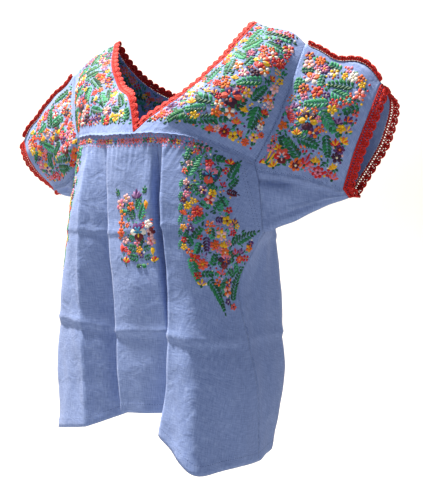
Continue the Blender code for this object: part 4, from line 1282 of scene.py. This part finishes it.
def laceMaterial():
    material, tree = newMaterial("red_mercerised_crochet_cotton")
    space = addNode(tree, "ShaderNodeTexCoord")
    plies = addNode(tree, "ShaderNodeTexVoronoi", {"Scale": 1 / lace["ply"], "Randomness": 0.8},
                    {"Vector": space.outputs["Object"]})
    shades = addNode(tree, "ShaderNodeValToRGB", None, {0: plies.outputs["Distance"]})
    for stop, place, dye in zip(shades.color_ramp.elements, (0.15, 0.75), (lace["dye"], lace["deep"])):
        stop.position, stop.color = place, (*linear(dye), 1)
    relief = addNode(tree, "ShaderNodeBump", {"Strength": 0.6, "Distance": -0.0008},
                     {"Height": plies.outputs["Distance"]})
    shader = addNode(tree, "ShaderNodeBsdfPrincipled",
                     {"Roughness": lace["roughness"], "Sheen Weight": 0.03, "Specular IOR Level": 0.22,
                      "IOR": 1.5},
                     {"Base Color": shades.outputs[0], "Normal": relief.outputs[0]})
    finishMaterial(tree, shader)
    return material


class Cords:
    # round cords laid along an edge: run along it, reach away from it and lift off it, in metres
    def __init__(self, line, reach, normal, ring):
        parts = (line, reach, normal)
        if ring:
            parts = [np.concatenate([part, part[:1]]) for part in parts]
        self.line, self.reach, self.normal = parts
        self.run = metresAlong(self.line)
        self.points, self.faces, self.count = [], [], 0

    def along(self, run, part):
        return np.stack([np.interp(run, self.run, part[:, k]) for k in range(3)], axis=1)

    def cord(self, run, reach, radius, lift=0.0, sides=6, knots=0.0):
        run = np.asarray(run, float)
        lift = np.broadcast_to(lift, run.shape).astype(float)
        normal = unit(self.along(run, self.normal))
        centre = (self.along(run, self.line) + self.along(run, self.reach) * np.asarray(reach, float)[:, None]
                  + normal * lift[:, None])
        ahead = unit(np.gradient(centre, axis=0))
        across = unit(np.cross(ahead, normal))
        normal = np.cross(across, ahead)
        turn = np.arange(sides) * 2 * math.pi / sides
        size = radius * (1 + knots * np.sin(np.arange(len(run)) * math.pi * 0.98))
        ring = (np.cos(turn)[None, :, None] * across[:, None] + np.sin(turn)[None, :, None] * normal[:, None])
        index = self.count + np.arange(len(run) * sides).reshape(len(run), sides)
        self.points.append((centre[:, None] + size[:, None, None] * ring).reshape(-1, 3))
        self.faces += quadsOf(np.concatenate([index, index[:, :1]], axis=1)).tolist()
        shut = sides - sides % 2      # a cord of five sides is left a little open at its two ends
        self.faces += [index[0][:shut][::-1].tolist(), index[-1][sides - shut:].tolist()]
        self.count += index.size


def crochet(name, line, reach, normal, ring):
    make = edgings[name]
    cords = Cords(line, reach, normal, ring)
    total = cords.run[-1]
    scallops = round(total / lace["pitch"])
    pitch = total / scallops
    fine = np.arange(0, total + 1e-6, total / round(total / lace["step"]))
    sway = lace["sway"] * np.sin(fine / pitch * 2 * math.pi * 3)
    cords.cord(fine, lace["foundationAt"] + sway, lace["foundation"], sides=5, knots=lace["knots"])
    if make["header"] > 0.003:
        cords.cord(fine, make["header"] + sway, lace["header"], sides=5, knots=lace["knots"])
    if make["lattice"]:      # crossed posts leave a row of diamond holes
        step = pitch / make["lattice"]
        for k in range(scallops * make["lattice"]):
            for lean in (-0.5, 0.5):
                run = np.clip(k * step + step / 2 + lean * step * np.array([-1.0, 0.0, 1.0]), 0, total)
                rise = np.linspace(lace["latticeFoot"], make["header"] - 0.0002, 3)
                cords.cord(run, rise, lace["lattice"], lean * 0.0008, sides=4)
    else:
        rise = (lace["postFoot"], max(make["header"], lace["postTop"]))
        for at in np.arange(pitch / lace["posts"] / 2, total, pitch / lace["posts"]):
            cords.cord((at, at), rise, lace["foundation"], sides=4)
    swing = np.linspace(-1, 1, 11)      # from one notch over the tip to the next
    tall = make["tip"] - make["notch"]
    for k in range(scallops):
        middle = (k + 0.5) * pitch
        run = middle + 0.5 * pitch * np.sign(swing) * np.abs(np.sin(swing * math.pi / 2)) ** 0.8
        arc = make["notch"] - lace["arcInset"] + tall * np.cos(swing * math.pi / 2)
        cords.cord(run, arc, lace["arc"], 0.0003 * np.cos(swing * 9), sides=6, knots=lace["arcKnots"])
        for spoke in np.linspace(-lace["spokesOver"], lace["spokesOver"], make["spokes"]):
            end = make["notch"] - lace["spokeInset"] + tall * math.cos(spoke * math.pi / 2)
            spread = middle + pitch * np.array(lace["spokeSpread"]) * spoke
            cords.cord(spread, np.linspace(make["header"], end, 3), make["post"],
                       lace["spokeLift"] * (1 if abs(spoke) > 0.01 else -1), sides=4)
    mesh = newMesh("crochet_" + name, np.concatenate(cords.points), cords.faces)
    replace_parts(addPiece("crochet_" + name, mesh, laceFinish), name)


def edgeOf(name, edge):
    # an edge of a panel at mid-cloth, its outward steps, and the way past the edge
    panel = panels[name]
    rim, inner = {"top": ((0, slice(None)), (2, slice(None))), "left": ((slice(None), 0), (slice(None), 2)),
                  "right": ((slice(None), -1), (slice(None), -3))}[edge]
    grid, steps = panel["grid"], panel["steps"][rim]
    line = grid[rim] + (panel["lift"][rim] + (cloth["under"] + cloth["skin"]) / 2)[:, None] * steps
    return np.stack([line, unit(steps), unit(grid[rim] - grid[inner])])


def squareTo(line, normals, toward):
    # steps away from a closed line, square to it in the cloth's own plane
    along = unit(np.roll(line, -1, axis=0) - np.roll(line, 1, axis=0))
    steps = unit(np.cross(along, normals))
    steps *= np.sign((steps * toward).sum(axis=1, keepdims=True))
    for _ in range(6):     # ease the turn at the neck point and the cuff's fold
        steps = unit(steps + 0.5 * (np.roll(steps, 1, axis=0) + np.roll(steps, -1, axis=0)))
    return steps


def crochetRing(name, edges):
    ring = np.concatenate([edge[:, :-1] for edge in edges], axis=1)
    crochet(name, ring[0], squareTo(*ring), ring[1], True)


laceFinish = laceMaterial()
crochetRing("neck_edging", [edgeOf("yoke_front_left", "left"), edgeOf("yoke_front_right", "left")[:, ::-1],
                            edgeOf("yoke_back", "top")[:, ::-1]])
for side in ("left", "right"):
    crochetRing("cuff_edging_" + side, [edgeOf("sleeve_%s_front" % side, "right"),
                                        edgeOf("gusset_" + side, "right"),
                                        edgeOf("sleeve_%s_back" % side, "right")[:, ::-1]])
    ridgePanel = panels["sleeve_%s_front" % side]
    line, up = ridgePanel["skin"][0][1:-1], unit(ridgePanel["steps"][0])[1:-1]
    crochet("sleeve_seam_edging_" + side, line, up, unit(np.cross(up, np.gradient(line, axis=0))), False)
print("edgings crocheted")

# Plain pale floor and soft daylight from the upper left in front; metres and watts
studio = {"floor": "#bebebc", "floorDrop": 0.30, "halfWidth": 5.0, "turn": 33,
          "sweep": ((-4.0, 0.0), (1.6, 0.0), (2.2, 0.10), (2.6, 0.5), (2.75, 1.2), (2.8, 4.0)),
          "keySize": 0.30, "keyPower": 520.0, "keyFrom": (-1.15, -0.48, 2.90), "keyTint": "#fff3e2",
          "keyAim": (0, 0, -0.3), "wallSize": 1.2, "wallPower": 60.0, "wallFrom": (-0.2, 1.9, 2.6),
          "wallTint": "#ffffff", "wallAim": (-1.3, 3.4, -0.2), "sky": "#dfe8fa", "skyStrength": 0.42}
camera = {"lens": 56.8, "sensor": 36.0, "place": (0.7098, -1.0803, -0.3303),
          "right": (0.8549, 0.5188, 0.0060), "up": (-0.0130, 0.0098, 0.9999),
          "ahead": (-0.5187, 0.8548, -0.0151)}


def stand(label, data, place, right, up, ahead):
    # puts a light or the camera in the scene, looking ahead
    item = bpy.data.objects.new(label, data)
    bpy.context.scene.collection.objects.link(item)
    item.matrix_world = Matrix([[right[k], up[k], -ahead[k], place[k]] for k in range(3)] + [[0, 0, 0, 1]])
    return item


def addLight(label, which):
    light = bpy.data.lights.new(label, "AREA")
    light.color = linear(studio[which + "Tint"])
    light.shape, light.size, light.energy = "DISK", studio[which + "Size"], studio[which + "Power"]
    place, aim = np.array(studio[which + "From"], float), np.array(studio[which + "Aim"], float)
    ahead = unit(aim - place)
    right = unit(np.cross(ahead, (0, 0, 1.0)))
    stand(label, light, place, right, np.cross(right, ahead), ahead)


def paperMaterial():
    # matt white background paper, with a grain that shows only close up
    material, tree = newMaterial("white_background_paper")
    grain = addNode(tree, "ShaderNodeTexNoise", {"Scale": 220.0})
    rough = addNode(tree, "ShaderNodeBump", {"Strength": 0.05, "Distance": 0.001},
                    {"Height": grain.outputs[0]})
    shader = addNode(tree, "ShaderNodeBsdfPrincipled",
                     {"Base Color": (*linear(studio["floor"]), 1), "Roughness": 0.95},
                     {"Normal": rough.outputs[0]})
    finishMaterial(tree, shader)
    return material


def buildStudio():
    # a sheet that runs forward as floor and sweeps up behind
    low = cadBox[0][2] - studio["floorDrop"]
    profile = smooth([(0, y, low + z) for y, z in studio["sweep"]], [8] * 5)
    spread = np.linspace(-studio["halfWidth"], studio["halfWidth"], 21)[None]
    turn = math.radians(studio["turn"])
    y = profile[:, 1:2]
    sheet = np.stack([spread * math.cos(turn) - y * math.sin(turn),
                      spread * math.sin(turn) + y * math.cos(turn), profile[:, 2:] + 0 * spread], axis=2)
    index = np.arange(sheet.shape[0] * sheet.shape[1]).reshape(sheet.shape[:2])
    mesh = newMesh("paper_sweep", sheet.reshape(-1, 3), quadsOf(index).tolist())
    mesh.materials.append(paperMaterial())
    floor = bpy.data.objects.new("paper_sweep", mesh)
    bpy.context.scene.collection.objects.link(floor)
    world = bpy.data.worlds.new("soft_sky")
    world.use_nodes = True
    background = world.node_tree.nodes["Background"]
    background.inputs[0].default_value = (*linear(studio["sky"]), 1)
    background.inputs[1].default_value = studio["skyStrength"]
    bpy.context.scene.world = world
    addLight("key", "key")
    addLight("backdrop_lamp", "wall")
    bpy.context.scene.view_settings.view_transform = "Standard"


def buildCamera():
    lens = bpy.data.cameras.new("view")
    lens.lens, lens.sensor_width = camera["lens"], camera["sensor"]
    axes = [camera[key] for key in ("place", "right", "up", "ahead")]
    bpy.context.scene.camera = stand("view", lens, *axes)


buildStudio()
buildCamera()
print("studio and camera set")

bpy.context.view_layer.update()
